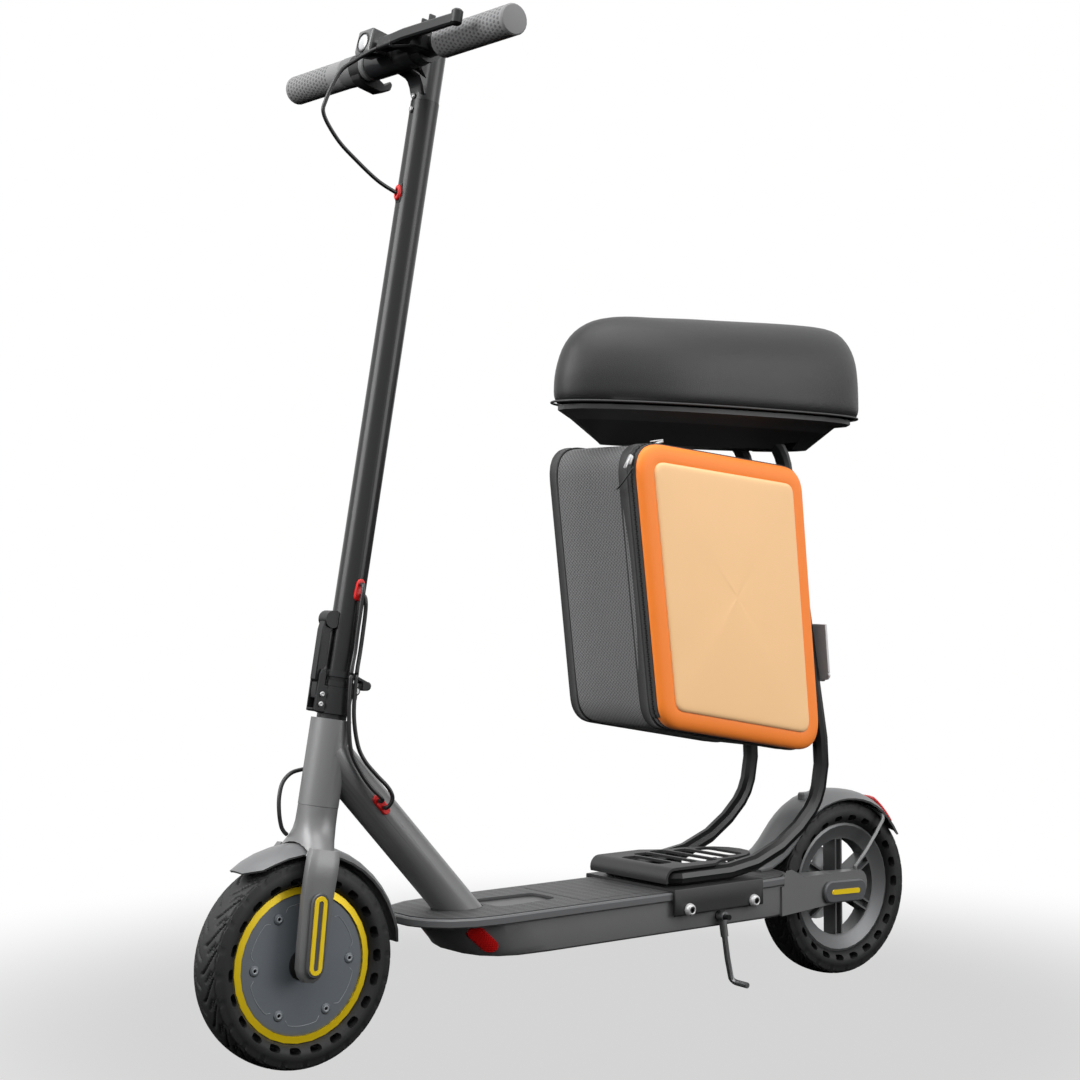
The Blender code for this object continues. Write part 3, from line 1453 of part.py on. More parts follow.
CABLE_R = 0.0022
BRAKE_ROUTE = (
    (0.0890, 0.0311, BAR_U - 0.0108),
    (0.0918, 0.0276, BAR_U - 0.0131),
    (0.0963, 0.0220, BAR_U - 0.0178),
    (0.1033, 0.0150, BAR_U - 0.0255),
    (0.1157, 0.0070, 0.9296),
    (0.1244, 0.0020, 0.8966),
    (0.1227, 0.0000, 0.8804),
    (0.1011, 0.0000, 0.8589),
    (0.0754, 0.0000, 0.8441),
    (0.0457, 0.0000, 0.8301),
    (0.0230, 0.0000, 0.8240),
    (0.0172, 0.0000, 0.8240),
)
INNER_ROUTE = (
    (-0.0005, 0.0178, 0.3945),
    (-0.0005, 0.0222, 0.3940),
    (0.0000, 0.0246, 0.3885),
    (-0.0004, 0.0242, 0.3750),
    (-0.0018, 0.0228, 0.3420),
    (-0.0025, 0.0225, 0.3232),
    (-0.0012, 0.0235, 0.2989),
    (-0.0050, 0.0245, 0.2600),
    (-0.0137, 0.0255, 0.2220),
    (-0.0289, 0.0270, 0.2002),
    (-0.0436, 0.0290, 0.1859),
    (-0.0530, 0.0318, 0.1790),
    (-0.0580, 0.0316, 0.1748),
    (-0.0581, 0.0286, 0.1734),
    (-0.0581, 0.0241, 0.1734),
)
OUTER_ROUTE = (
    (-0.0030, 0.0178, 0.3835),
    (-0.0036, 0.0222, 0.3830),
    (-0.0050, 0.0246, 0.3775),
    (-0.0070, 0.0240, 0.3650),
    (-0.0082, 0.0232, 0.3400),
    (-0.0086, 0.0228, 0.3241),
    (-0.0078, 0.0240, 0.2997),
    (-0.0110, 0.0248, 0.2600),
    (-0.0198, 0.0262, 0.2300),
    (-0.0302, 0.0282, 0.2135),
    (-0.0462, 0.0310, 0.1998),
    (-0.0607, 0.0335, 0.1890),
    (-0.0680, 0.0340, 0.1800),
    (-0.0684, 0.0325, 0.1725),
    (-0.0661, 0.0288, 0.1672),
    (-0.0661, 0.0241, 0.1672),
)
MOTOR_ROUTE = (
    (0.0000, -0.0219, 0.1970),
    (0.0000, -0.0264, 0.1970),
    (0.0100, -0.0290, 0.1945),
    (0.0220, -0.0280, 0.1895),
    (0.0310, -0.0262, 0.1790),
    (0.0338, -0.0240, 0.1640),
    (0.0320, -0.0222, 0.1480),
    (0.0276, -0.0215, 0.1348),
    (0.0228, -0.0215, 0.1289),
    (0.0186, -0.0215, 0.1264),
)


def make_cables(stem, turning):
    for name, route, parent in (
        ("brake_cable", BRAKE_ROUTE, stem),
        ("cable_a", INNER_ROUTE, turning),
        ("cable_b", OUTER_ROUTE, turning),
        ("motor_cable", MOTOR_ROUTE, turning),
    ):
        dress(tube(name, smooth_route(route, 0.0120, True), CABLE_R, parent, 2), "rubber")


# Seat kit


def make_saddle():
    """The folded sheet that straddles the deck, with a domed bolt in each corner."""
    top, low = DECK_TOP + GAP, DECK_TOP - SADDLE_DROP
    outer = rounded(
        [
            (-SADDLE_OUTER, low),
            (SADDLE_OUTER, low),
            (SADDLE_OUTER, top + SHEET),
            (-SADDLE_OUTER, top + SHEET),
        ],
        0.0015,
        2,
    )
    inner_half = SADDLE_OUTER - SHEET
    saddle = plate("seat_saddle", [outer], SADDLE_BACK, SADDLE_FRONT, REAR, "YZ")
    inner = block("deck under the saddle", (0.0, -inner_half, -0.1), (0.6, inner_half, top), REAR)
    bolts = []
    for x in (SADDLE_BACK + 0.0149, SADDLE_FRONT - 0.0214):
        for side in (1, -1):
            at = (x, side * (SADDLE_OUTER - 0.001), 0.0137)
            dome = [(0.0, 0.0068), (0.0040, 0.0060), (0.0064, 0.0036), (0.0072, 0.0), (0.0, 0.0)]
            bolt = turned("saddle bolt", [(r, side * a) for r, a in dome], REAR, at, steps=10)
            socket = rod("hex socket", 0.0026, (x, side * 0.0835, 0.0137), (x, side * 0.095, 0.0137), REAR, 6)
            cut(bolt, socket)
            bolts.append(bolt)
    cut(saddle, inner)
    join(saddle, *bolts)
    return dress(saddle, "frame")


def seat_plate_section():
    """The top plate from the side: flat, then rolled down over the frame's front bar."""
    top = SEAT_PLATE_TOP
    front = SADDLE_FRONT + 0.0035
    roll = arc((front - 0.0130, top - 0.0130), 0.0130, 90, -20, 6)
    inner = arc((front - 0.0130, top - 0.0130), 0.0130 - SHEET, -20, 90, 6)
    return [(0.150, top)] + roll + inner + [(0.150, top - SHEET)]


def make_seat_base_plate():
    body = plate("seat_base_plate", [seat_plate_section()], -SEAT_PLATE_HALF, SEAT_PLATE_HALF, REAR, sharp=45)
    tail = 0.158
    plan = [(0.36, -SEAT_PLATE_HALF - 0.001), (0.36, SEAT_PLATE_HALF + 0.001), (0.262, SEAT_PLATE_HALF + 0.001)]
    for i in range(11):
        angle = math.radians(90 + 18 * i)
        x = tail + 0.078 + 0.078 * curved(math.cos(angle), 2.2)
        plan.append((x, SEAT_PLATE_WAIST * curved(math.sin(angle), 2.2)))
    plan.append((0.262, -SEAT_PLATE_HALF - 0.001))
    keep_inside(body, plate("plan", [plan], -0.1, 0.2, REAR, "XY"))
    slots = []
    for i, half in enumerate((0.036, 0.048, 0.052, 0.042, 0.034)):
        middle = SADDLE_FRONT - 0.0260 - 0.0283 * i
        corners = [(middle - 0.0120, -half), (middle + 0.0120, -half), (middle + 0.0120, half), (middle - 0.0120, half)]
        slots.append(rounded(corners, 0.007, 2))
    cut(body, plate("grill slots", slots, 0.0, 0.1, REAR, "XY"))
    for side in (1, -1):
        for x in (SADDLE_BACK + 0.02, SADDLE_FRONT - 0.03):
            leg = rod(
                "plate spacer",
                0.0045,
                (x, side * 0.0480, DECK_TOP + SHEET + 2 * GAP),
                (x, side * 0.0480, SEAT_PLATE_TOP - 0.001),
                REAR,
                8,
            )
            join(body, leg)
    return dress(body, "black")


def seat_frame_route():
    """Half of the frame, from the middle of the front bar back, up and into the pan."""
    y, z = SEAT_TUBE_Y, SEAT_TUBE_Z
    front = SADDLE_FRONT - 0.0095
    corner = 0.022
    start = [(front, 0.0, z), (front, y - corner, z)]
    bend = [
        (front - corner + corner * math.cos(math.radians(a)), y - corner + corner * math.sin(math.radians(a)), z)
        for a in (30, 60)
    ]
    back = [
        (front - corner, y, z),
        (0.2393, y, z),
        (0.1950, y, z + 0.0060),
        (0.1516, y, 0.0696),
        (0.1207, y, 0.0896),
        (0.0985, y, 0.1108),
        (0.0867, y, 0.1331),
        (0.0809, y, 0.1651),
        (0.0830, y - 0.0005, 0.2000),
        (0.0868, y - 0.0045, 0.2378),
    ]
    rise = [(0.0930, 0.0520, 0.3130), (0.1045, 0.0400, 0.4500), (0.1090, 0.0350, 0.5100)]
    into = [(0.1165, 0.0340, 0.5400), (0.1330, 0.0340, 0.5580), (0.1600, 0.0340, 0.5640), (0.1900, 0.0340, 0.5645)]
    return start + bend + back + rise + into


def seat_frame_points():
    return thinned(smooth_route(seat_frame_route(), 0.004), 11, 0.12)


def make_seat_frame():
    half = seat_frame_points()
    other = [(x, -y, z) for x, y, z in reversed(half[1:])]
    frame = tube("seat_frame", other + [tuple(point) for point in half], SEAT_TUBE_R, REAR, 3)
    return dress(frame, "black")


def seat_outline(inset, z, count=22, rear_inset=None, nose_inset=None):
    """The seat's plan: wide and round at the back, a little narrower at the nose."""
    rear = SEAT_REAR + (inset if rear_inset is None else rear_inset)
    nose = SEAT_NOSE - (inset if nose_inset is None else nose_inset)
    middle, reach = (rear + nose) / 2, (nose - rear) / 2
    ring = []
    for i in range(count):
        angle = 2 * math.pi * i / count
        power = SEAT_NOSE_POWER if math.cos(angle) > 0 else SEAT_REAR_POWER
        along = curved(math.cos(angle), power)
        half = SEAT_HALF + (SEAT_NOSE_HALF - SEAT_HALF) * (along + 1) / 2 - inset
        ring.append((middle + reach * along, half * curved(math.sin(angle), power), z))
    return ring


def tilt(ring, slope):
    """Raises the nose end of a level ring a little, as the seat sits."""
    return [(x, y, z + slope * (x - 0.22)) for x, y, z in ring]


def make_seat_pan():
    rim = SEAT_SEAM - 0.0080
    rings = []
    for inset, z in ((0.085, PAN_BOTTOM), (0.062, PAN_BOTTOM), (0.025, rim - 0.0060), (0.0110, rim - 0.0010), (0.0095, rim), (0.0095, SEAT_SEAM - 0.0025)):
        rings.append(seat_outline(inset, z))
    rings = [rings[1]] + [tilt(ring, 0.020) if i > 2 else ring for i, ring in enumerate(rings) if i > 1]
    pan = loft("seat_pan", rings, REAR, 40)
    ways = []
    for side in (1, -1):
        path = [Vector((x, side * y, z)) for x, y, z in seat_frame_points() if z > 0.40]
        path[-1] += Vector((0.004, 0, 0))
        channel = as_mesh(tube("tube channel", path, SEAT_TUBE_R + 0.0009, REAR, 3), REAR)
        mouth = block(
            "channel mouth",
            (0.1000, side * 0.0340 - SEAT_TUBE_R - 0.0009, PAN_BOTTOM - 0.01),
            (0.1340, side * 0.0340 + SEAT_TUBE_R + 0.0009, 0.5580),
            REAR,
        )
        ways += [channel, mouth]
    cut(pan, *ways)
    return dress(pan, "vinyl")


def make_seat_cushion():
    """The padded top: a piped lower edge, swelling sides and a crowned top that dips behind the nose."""
    seam = SEAT_SEAM
    rows = (
        (0.0050, 0.0050, 0.0050, seam - 0.0020, 0.022),
        (0.0015, 0.0015, 0.0015, seam + 0.0030, 0.022),
        (0.0000, 0.0000, 0.0000, seam + 0.0180, 0.022),
        (0.0020, 0.0000, 0.0050, seam + 0.0480, 0.012),
        (0.0140, 0.0030, 0.0230, seam + 0.0810, 0.004),
        (0.0380, 0.0140, 0.0520, seam + 0.1010, -0.008),
        (0.0640, 0.0420, 0.0880, seam + 0.1070, -0.012),
    )
    bm = bmesh.new()
    loops = []
    for inset, rear_inset, nose_inset, z, slope in rows:
        ring = tilt(seat_outline(inset, z, 20, rear_inset, nose_inset), slope)
        loops.append([bm.verts.new(point) for point in ring])
    for low, high in zip(loops, loops[1:]):
        for i in range(len(low)):
            j = (i + 1) % len(low)
            bm.faces.new((low[i], low[j], high[j], high[i]))
    for loop, z in ((loops[-1], SEAT_TOP - 0.0010), (loops[0], seam - 0.0020)):
        centre = sum((vert.co for vert in loop), Vector()) / len(loop)
        hub = bm.verts.new((centre.x, 0, z))
        for i in range(len(loop)):
            bm.faces.new((loop[i], loop[(i + 1) % len(loop)], hub))
    cushion = solid("seat_cushion", bm, REAR, 60)
    rounding = cushion.modifiers.new("padding", "SUBSURF")
    rounding.levels = 1
    rounding.render_levels = 1
    return dress(cushion, "vinyl")


# Bag


def bag_outline(inset):
    """The bag from the side, with its corners rounded."""
    middle = sum((Vector(corner) for corner in BAG_CORNERS), Vector((0, 0))) / 4
    corners = []
    for corner in BAG_CORNERS:
        away = Vector(corner) - middle
        corners.append(tuple(Vector(corner) - Vector((math.copysign(inset, away.x), math.copysign(inset, away.y)))))
    return rounded(corners, BAG_CORNER - inset, 6)


def make_bag_shell():
    bag = plate("bag_shell", [bag_outline(0.0)], -BAG_HALF, BAG_SPLIT - GAP, REAR)
    bevel(bag, 0.004, 1, 60)
    cavity = plate("bag cavity", [bag_outline(BAG_WALL)], -BAG_HALF + BAG_WALL, BAG_SPLIT + 0.01, REAR)
    cut(bag, cavity)
    return dress(bag, "mesh")


def make_bag_lid():
    """The moulded orange side that unzips and swings down, with a raised flat panel."""
    low_corner = BAG_CORNERS[2]
    front_corner = BAG_CORNERS[1]
    middle = ((low_corner[0] + front_corner[0]) / 2, BAG_SPLIT, (low_corner[1] + front_corner[1]) / 2)
    carrier = add_pivot("bag_lid_pivot", REAR, middle)
    rings = []
    for inset, y in ((0.0, BAG_SPLIT), (0.0, BAG_HALF - 0.0060), (0.0040, BAG_HALF - 0.0015), (0.0090, BAG_HALF), (0.0190, BAG_HALF + 0.0004), (0.0225, BAG_HALF + 0.0022)):
        rings.append([(x, y, z) for x, z in bag_outline(inset)])
    lid = loft("bag_lid", rings, carrier, 30)
    cavity = plate("lid cavity", [bag_outline(BAG_WALL)], BAG_SPLIT - 0.01, BAG_HALF - 0.0045, carrier)
    pull = block("zip pull", (0.3400, BAG_SPLIT + 0.0010, 0.5380), (0.3530, BAG_SPLIT + 0.0042, 0.5490), carrier)
    cut(lid, cavity)
    join(lid, pull)
    return dress(lid, "orange")


def make_bag_bracket():
    """The silver clamp plate behind the tubes, with a spacer that carries the bag."""
    lean = math.radians(4.8)
    thick, half, high = 0.0030, 0.0750, 0.0350
    plan = [(-half, -high + 0.012), (-half + 0.010, -high), (half - 0.010, -high), (half, -high + 0.012), (half, high), (-half, high)]
    bracket = plate("bag_bracket", [plan], -thick / 2, thick / 2, REAR, "YZ")
    spacers = [
        rod("bag spacer", 0.0070, (0.0, y, z), (0.0235, y, z), REAR, 10)
        for y in (-0.0200, 0.0200)
        for z in (-0.020, 0.020)
    ]
    eyes = [
        turned("bolt eye", [(0.0, 0.0030), (0.0040, 0.0024), (0.0055, 0.0), (0.0055, -0.002), (0.0, -0.002)], REAR, steps=12, axis="X")
        for _ in range(2)
    ]
    place = Matrix.Translation((0.0799, 0, 0.2975)) @ Matrix.Rotation(lean, 4, "Y")
    for piece in [bracket, *spacers]:
        piece.data.transform(place)
    for eye, side in zip(eyes, (1, -1)):
        eye.location = (0.0761, side * 0.0690, 0.2700)
        eye.rotation_euler = (0, math.radians(-90) + lean, 0)
    join(bracket, *spacers, *eyes)
    cut(bracket, loft("bag wall", [[(x, y, z) for x, z in bag_outline(-GAP)] for y in (-0.1, 0.1)], REAR))
    return dress(bracket, "silver")


def main():
    make_chassis()
    make_bottom_cover()
    make_battery()
    make_controller()
    make_edge_trim()
    make_deck_mat()
    make_side_reflectors()
    make_arm_covers()
    front_axle = add_pivot("front_wheel_pivot", STEER, (0, 0, 0))
    rear_axle = add_pivot("rear_wheel_pivot", REAR, (0, 0, 0))
    make_front_wheel(front_axle)
    make_rear_wheel(rear_axle)
    make_rear_axle()
    make_caliper()
    make_rear_fender()
    make_tail_light()
    make_fender_stay()
    make_kickstand()
    make_neck()
    make_bearing(STEER)
    make_fork(STEER)
    make_fork_covers(STEER)
    make_front_axle(STEER)
    make_front_fender(STEER)
    make_folding_base(STEER)
    make_hinge_pin(STEER)
    make_fold_lever(STEER)
    make_stem(STEM)
    make_lock_ring(STEM)
    make_stem_head(STEM)
    make_power_button(STEM)
    make_handlebar(STEM)
    make_grips(STEM)
    make_brake_perch(STEM)
    make_brake_lever(STEM)
    make_bell_lever(STEM)
    make_headlight(STEM)
    make_throttle(STEM)
    make_cables(STEM, STEER)
    make_saddle()
    make_seat_base_plate()
    make_seat_frame()
    make_seat_pan()
    make_seat_cushion()
    make_bag_shell()
    make_bag_lid()
    make_bag_bracket()


main()
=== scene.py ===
"""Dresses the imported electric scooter: finishes for its rigid parts, and its tyres, seat, bag and cables.

All lengths are in metres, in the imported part's own frame: +X forward, +Y to the rider's left, +Z up.
"""

import math
from contextlib import contextmanager
from operator import attrgetter

import bmesh
import bpy
from bpy.props import FloatProperty, FloatVectorProperty, IntProperty, PointerProperty
from mathutils import Matrix, Vector


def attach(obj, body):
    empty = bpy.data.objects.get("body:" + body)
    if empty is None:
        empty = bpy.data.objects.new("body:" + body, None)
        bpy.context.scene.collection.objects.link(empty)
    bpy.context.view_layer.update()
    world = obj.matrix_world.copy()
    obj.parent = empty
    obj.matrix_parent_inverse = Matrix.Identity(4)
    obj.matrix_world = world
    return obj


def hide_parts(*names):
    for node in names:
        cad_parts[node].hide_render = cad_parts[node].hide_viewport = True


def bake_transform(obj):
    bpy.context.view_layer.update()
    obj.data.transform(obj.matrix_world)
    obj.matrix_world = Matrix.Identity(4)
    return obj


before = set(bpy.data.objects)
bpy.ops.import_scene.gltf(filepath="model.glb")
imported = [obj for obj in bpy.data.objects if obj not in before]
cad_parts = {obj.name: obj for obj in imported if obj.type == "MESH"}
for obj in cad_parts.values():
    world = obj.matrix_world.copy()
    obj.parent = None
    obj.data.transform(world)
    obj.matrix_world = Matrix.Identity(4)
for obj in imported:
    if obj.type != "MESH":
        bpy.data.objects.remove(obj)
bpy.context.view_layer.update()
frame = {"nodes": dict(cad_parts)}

bl_info = {
    "name": "Electric scooter dressing",
    "version": (1, 0, 0),
    "blender": (4, 5, 0),
    "location": "View3D > Sidebar > Scooter",
    "description": "Finishes and soft pieces for an electric scooter with a seat and a bag",
    "category": "Object",
}

# The part's own sizes, which the pieces below are set out from

TYRE_R = 0.108
RIM_R = 0.0797
REAR_X = -0.3915
WHEELBASE = 0.783
RAKE = math.radians(9.92)
FRONT_AXLE = Vector((REAR_X + WHEELBASE, 0, TYRE_R))
REAR_AXLE = Vector((REAR_X, 0, TYRE_R))
BAR_W, BAR_U = 0.0429, 0.9711
GRIP_R = 0.0168
CABLE_R = 0.0022
SEAT_SLOPE = 0.022
SEAT_MID = 0.22


def steer(w, y, u):
    """A point given along, across and up the steering axis, in the part's frame."""
    sin, cos = math.sin(RAKE), math.cos(RAKE)
    return Vector((FRONT_AXLE.x + w * cos - u * sin, y, TYRE_R + w * sin + u * cos))


def rear(x, y, z):
    """A point given from the rear axle, in the part's frame."""
    return Vector((REAR_X + x, y, TYRE_R + z))


STEER_FRAME = Matrix.Translation(FRONT_AXLE) @ Matrix.Rotation(-RAKE, 4, "Y")


# Settings


def tint(name, description, default):
    return FloatVectorProperty(name=name, description=description, subtype="COLOR", size=3, default=default)


def size(name, description, default):
    return FloatProperty(name=name, description=description, unit="LENGTH", default=default)


def lamp_power(name, description, default):
    return FloatProperty(name=name, description=description, unit="POWER", default=default)


class StudioSettings(bpy.types.PropertyGroup):
    """The floor, the lamps and the light from all round."""

    floor_colour: tint("Floor colour", "Colour of the floor and backdrop", (0.90, 0.90, 0.90))
    key_power: lamp_power("Key lamp", "Power of the large lamp at the left", 72.0)
    fill_power: lamp_power("Fill lamp", "Power of the lamp at the right", 34.0)
    top_power: lamp_power("Top lamp", "Power of the lamp overhead", 56.0)
    sky_strength: FloatProperty(name="Sky strength", description="Light from all round", default=0.85)


class FrameSettings(bpy.types.PropertyGroup):
    """Colours of the metal and moulded parts."""

    gunmetal: tint("Gunmetal paint", "Deck housing, neck and fork", (0.165, 0.166, 0.168))
    black: tint("Black paint", "Stem, bars and seat frame", (0.0085, 0.0088, 0.0092))
    yellow: tint("Yellow", "Rim ring and bands", (0.90, 0.64, 0.010))
    red: tint("Red", "Grommets, reflectors and tail light", (0.62, 0.012, 0.012))
    grip: tint("Grip rubber", "Handlebar grips", (0.190, 0.190, 0.193))


class TyreSettings(bpy.types.PropertyGroup):
    """The solid tyres with openings through their sides."""

    openings: IntProperty(name="Openings", description="Openings round each tyre", default=22, min=8, max=40)
    opening_length: size("Opening length", "Along the tyre", 0.0135)
    opening_width: size("Opening width", "Across the side wall", 0.0070)
    groove_depth: size("Groove depth", "Depth of the tread's grooves", 0.0022)
    rubber: tint("Tyre rubber", "Colour of the tyre", (0.014, 0.0143, 0.0147))


class SeatSettings(bpy.types.PropertyGroup):
    """The padded seat."""

    swell: size("Swell", "Most that the padding may move", 0.006)
    vinyl: tint("Vinyl", "Colour of the cover", (0.013, 0.013, 0.0135))


class BagSettings(bpy.types.PropertyGroup):
    """The zipped bag under the seat."""

    cloth: tint("Side cloth", "Woven cloth of the bag", (0.150, 0.150, 0.153))
    binding: tint("Binding", "Tape along the bag's edges", (0.014, 0.014, 0.0145))
    border: tint("Lid border", "Orange rim of the lid", (0.97, 0.235, 0.018))
    panel: tint("Lid panel", "Paler field of the lid", (0.95, 0.585, 0.285))
    weave: size("Weave pitch", "From one mesh hole to the next", 0.0046)


class ScooterSettings(bpy.types.PropertyGroup):
    """All of the scooter's settings."""

    studio: PointerProperty(type=StudioSettings, name="Studio", description="Floor, lamps and camera")
    frame: PointerProperty(type=FrameSettings, name="Frame", description="Rigid parts")
    tyre: PointerProperty(type=TyreSettings, name="Tyres", description="Solid tyres")
    seat: PointerProperty(type=SeatSettings, name="Seat", description="Padded seat")
    bag: PointerProperty(type=BagSettings, name="Bag", description="Zipped bag")


def settings():
    return bpy.context.scene.scooter_settings


# Node trees


class Term:
    """A value in a node tree, so that node maths is written as maths."""

    def __init__(self, net, socket):
        self.net, self.socket = net, socket

    def __add__(self, other):
        return self.net.maths("ADD", self, other)

    def __radd__(self, other):
        return self.net.maths("ADD", other, self)

    def __rsub__(self, other):
        return self.net.maths("SUBTRACT", other, self)

    def __sub__(self, other):
        return self.net.maths("SUBTRACT", self, other)

    def __mul__(self, other):
        return self.net.maths("MULTIPLY", self, other)

    def __truediv__(self, other):
        return self.net.maths("DIVIDE", self, other)

    def __mod__(self, other):
        return self.net.maths("MODULO", self, other)

    def __pow__(self, other):
        return self.net.maths("POWER", self, other)

    def __lt__(self, other):
        return self.net.maths("LESS_THAN", self, other)

    def __gt__(self, other):
        return self.net.maths("GREATER_THAN", self, other)

    def __abs__(self):
        return self.net.maths("ABSOLUTE", self)


class Net:
    """One node tree, with short ways to add and join its nodes."""

    def __init__(self, tree):
        self.tree = tree
        self.column = 0

    def put(self, socket, value):
        """Links a socket to a value in the tree, or sets it to a plain one."""
        value = value.socket if isinstance(value, Term) else value
        if isinstance(value, bpy.types.NodeSocket):
            self.tree.links.new(value, socket)
        else:
            socket.default_value = value

    def add(self, kind, *inputs, **values):
        """A node with these inputs in order, and with these of its own values or inputs by name."""
        node = self.tree.nodes.new(kind)
        node.location = (self.column * 190, -60 * (self.column % 4))
        self.column += 1
        for key, value in values.items():
            if hasattr(node, key):
                setattr(node, key, value)
            else:
                self.put(node.inputs[key.replace("_", " ")], value)
        for socket, value in zip(node.inputs, inputs):
            self.put(socket, value)
        return node

    def value(self, kind, *inputs, out=0, **values):
        """One output of a new node."""
        return Term(self, self.add(kind, *inputs, **values).outputs[out])

    def maths(self, operation, *terms):
        return self.value("ShaderNodeMath", *terms, operation=operation)

    def ramp(self, value, low, high, start=0.0, end=1.0):
        """The value eased from start to end as it passes from low to high."""
        return self.value("ShaderNodeMapRange", value, low, high, start, end, interpolation_type="SMOOTHSTEP")

    def mix(self, factor, first, second):
        """Two colours mixed."""
        node = self.add("ShaderNodeMix", factor, data_type="RGBA")
        self.put(node.inputs[6], first)
        self.put(node.inputs[7], second)
        return Term(self, node.outputs[2])

    def split(self, vector):
        return [Term(self, socket) for socket in self.add("ShaderNodeSeparateXYZ", vector).outputs]

    def give(self, **results):
        """Ends a group: joins its outputs by name."""
        last = self.add("NodeGroupOutput")
        for label, value in results.items():
            self.put(last.inputs[label.replace("_", " ")], value)
        return self.tree


def new_group(name, inputs, outputs):
    """An empty shader group with these sockets: its net, and its inputs by name."""
    tree = bpy.data.node_groups.new(name, "ShaderNodeTree")
    for label, value in inputs.items():
        kind = "Float" if isinstance(value, float) else {3: "Vector", 4: "Color"}[len(value)]
        socket = tree.interface.new_socket(label, in_out="INPUT", socket_type="NodeSocket" + kind)
        socket.default_value = value
    for label in outputs:
        kind = "Color" if label == "Colour" else "Float"
        tree.interface.new_socket(label, in_out="OUTPUT", socket_type="NodeSocket" + kind)
    net = Net(tree)
    return net, {socket.name: Term(net, socket) for socket in net.add("NodeGroupInput").outputs}


def make_variation():
    """Slow drift of colour and gloss over a surface, with a fine grain for its height."""
    sockets = {"Colour": (0.1, 0.1, 0.1, 1), "Contrast": 0.12, "Roughness": 0.4}
    sockets |= {"Gloss drift": 0.10, "Patch scale": 14.0, "Grain scale": 900.0}
    net, given = new_group("Surface variation", sockets, ("Colour", "Roughness", "Height"))
    place = net.value("ShaderNodeTexCoord", out="Object")
    patches = {"Scale": given["Patch scale"], "Detail": 4.0, "Roughness": 0.55}
    patch = net.value("ShaderNodeTexNoise", out="Fac", Vector=place, **patches)
    grain = net.value("ShaderNodeTexNoise", out="Fac", Vector=place, Scale=given["Grain scale"], Detail=2.0)
    drift = patch - 0.5
    light = 1.0 + drift * given["Contrast"]
    tinted = net.value("ShaderNodeVectorMath", given["Colour"], operation="SCALE", Scale=light)
    rough = given["Roughness"] + drift * given["Gloss drift"]
    return net.give(Colour=tinted, Roughness=net.maths("MAXIMUM", rough, 0.05), Height=grain)


def make_round_axle():
    """Where a point lies about an axis along Y: its turn, its distance and its place along."""
    net, given = new_group("Round an axle", {"Centre": (0, 0, 0)}, ("Turn", "Radius", "Along"))
    place = net.value("ShaderNodeTexCoord", out="Object")
    x, y, z = net.split(net.value("ShaderNodeVectorMath", place, given["Centre"], operation="SUBTRACT"))
    turn = net.maths("ARCTAN2", z, x) / (2 * math.pi)
    return net.give(Turn=turn, Radius=net.maths("SQRT", x * x + z * z), Along=y)


def staggered(net, given):
    """A place within its cell, from -0.5 to 0.5 each way. Every second row is shifted by half a cell."""
    row = net.maths("FLOOR", given["V"])
    shift = abs(row) % 2.0 * 0.5
    return net.maths("FRACT", given["U"] + shift) - 0.5, net.maths("FRACT", given["V"]) - 0.5


def make_dashes():
    """Staggered short dashes: 1 on a dash, 0 between them."""
    sockets = {"U": 0.0, "V": 0.0, "Fill U": 0.62, "Fill V": 0.36, "Softness": 0.12}
    net, given = new_group("Staggered dashes", sockets, ("Mask",))
    u, v = staggered(net, given)
    across = v * 2.0 / given["Fill V"]
    along = u * 2.0 / given["Fill U"]
    reach = abs(across) ** 3.0 + abs(along) ** 4.0
    soft = given["Softness"]
    return net.give(Mask=net.ramp(reach, 1.0 + soft, 1.0 - soft * 4.0))


def make_mesh_weave():
    """Air-mesh cloth: rows of small round holes between crossing threads."""
    net, given = new_group("Air mesh", {"U": 0.0, "V": 0.0, "Hole": 0.30}, ("Hole mask", "Height"))
    u, v = staggered(net, given)
    reach = net.maths("SQRT", u * u + v * v)
    hole = net.ramp(reach, given["Hole"], given["Hole"] * 0.45)
    thread = net.maths("SINE", (given["U"] + given["V"]) * (4 * math.pi))
    return net.give(Hole_mask=hole, Height=net.ramp(reach, 0.1, 0.5) + thread * 0.12)


def make_pill_mask():
    """1 inside a pill drawn in the plane (U, V), from one point to another, 0 outside it."""
    sockets = {"U": 0.0, "V": 0.0, "U1": 0.0, "V1": 0.0, "U2": 0.0, "V2": 1.0, "Radius": 0.01}
    net, given = new_group("Pill", sockets, ("Mask",))
    du, dv = given["U2"] - given["U1"], given["V2"] - given["V1"]
    pu, pv = given["U"] - given["U1"], given["V"] - given["V1"]
    share = (pu * du + pv * dv) / (du * du + dv * dv)
    share = net.maths("MINIMUM", net.maths("MAXIMUM", share, 0.0), 1.0)
    qu, qv = pu - du * share, pv - dv * share
    gap = net.maths("SQRT", qu * qu + qv * qv)
    return net.give(Mask=net.ramp(gap - given["Radius"], 0.0001, -0.0001))


GROUP_MAKERS = {
    "variation": make_variation,
    "axle": make_round_axle,
    "dashes": make_dashes,
    "air_mesh": make_mesh_weave,
    "pill": make_pill_mask,
}
GROUPS = {}


def group(net, name, **values):
    """The outputs by name of a shared group, placed in this material with its own values."""
    if name not in GROUPS:
        GROUPS[name] = GROUP_MAKERS[name]()
    node = net.add("ShaderNodeGroup", node_tree=GROUPS[name], **values)
    return {socket.name: Term(net, socket) for socket in node.outputs}


def colour_of(value):
    """A colour, from three numbers or from the name of its setting."""
    if isinstance(value, str):
        value = attrgetter(value)(settings())
    return (*tuple(value)[:3], 1)


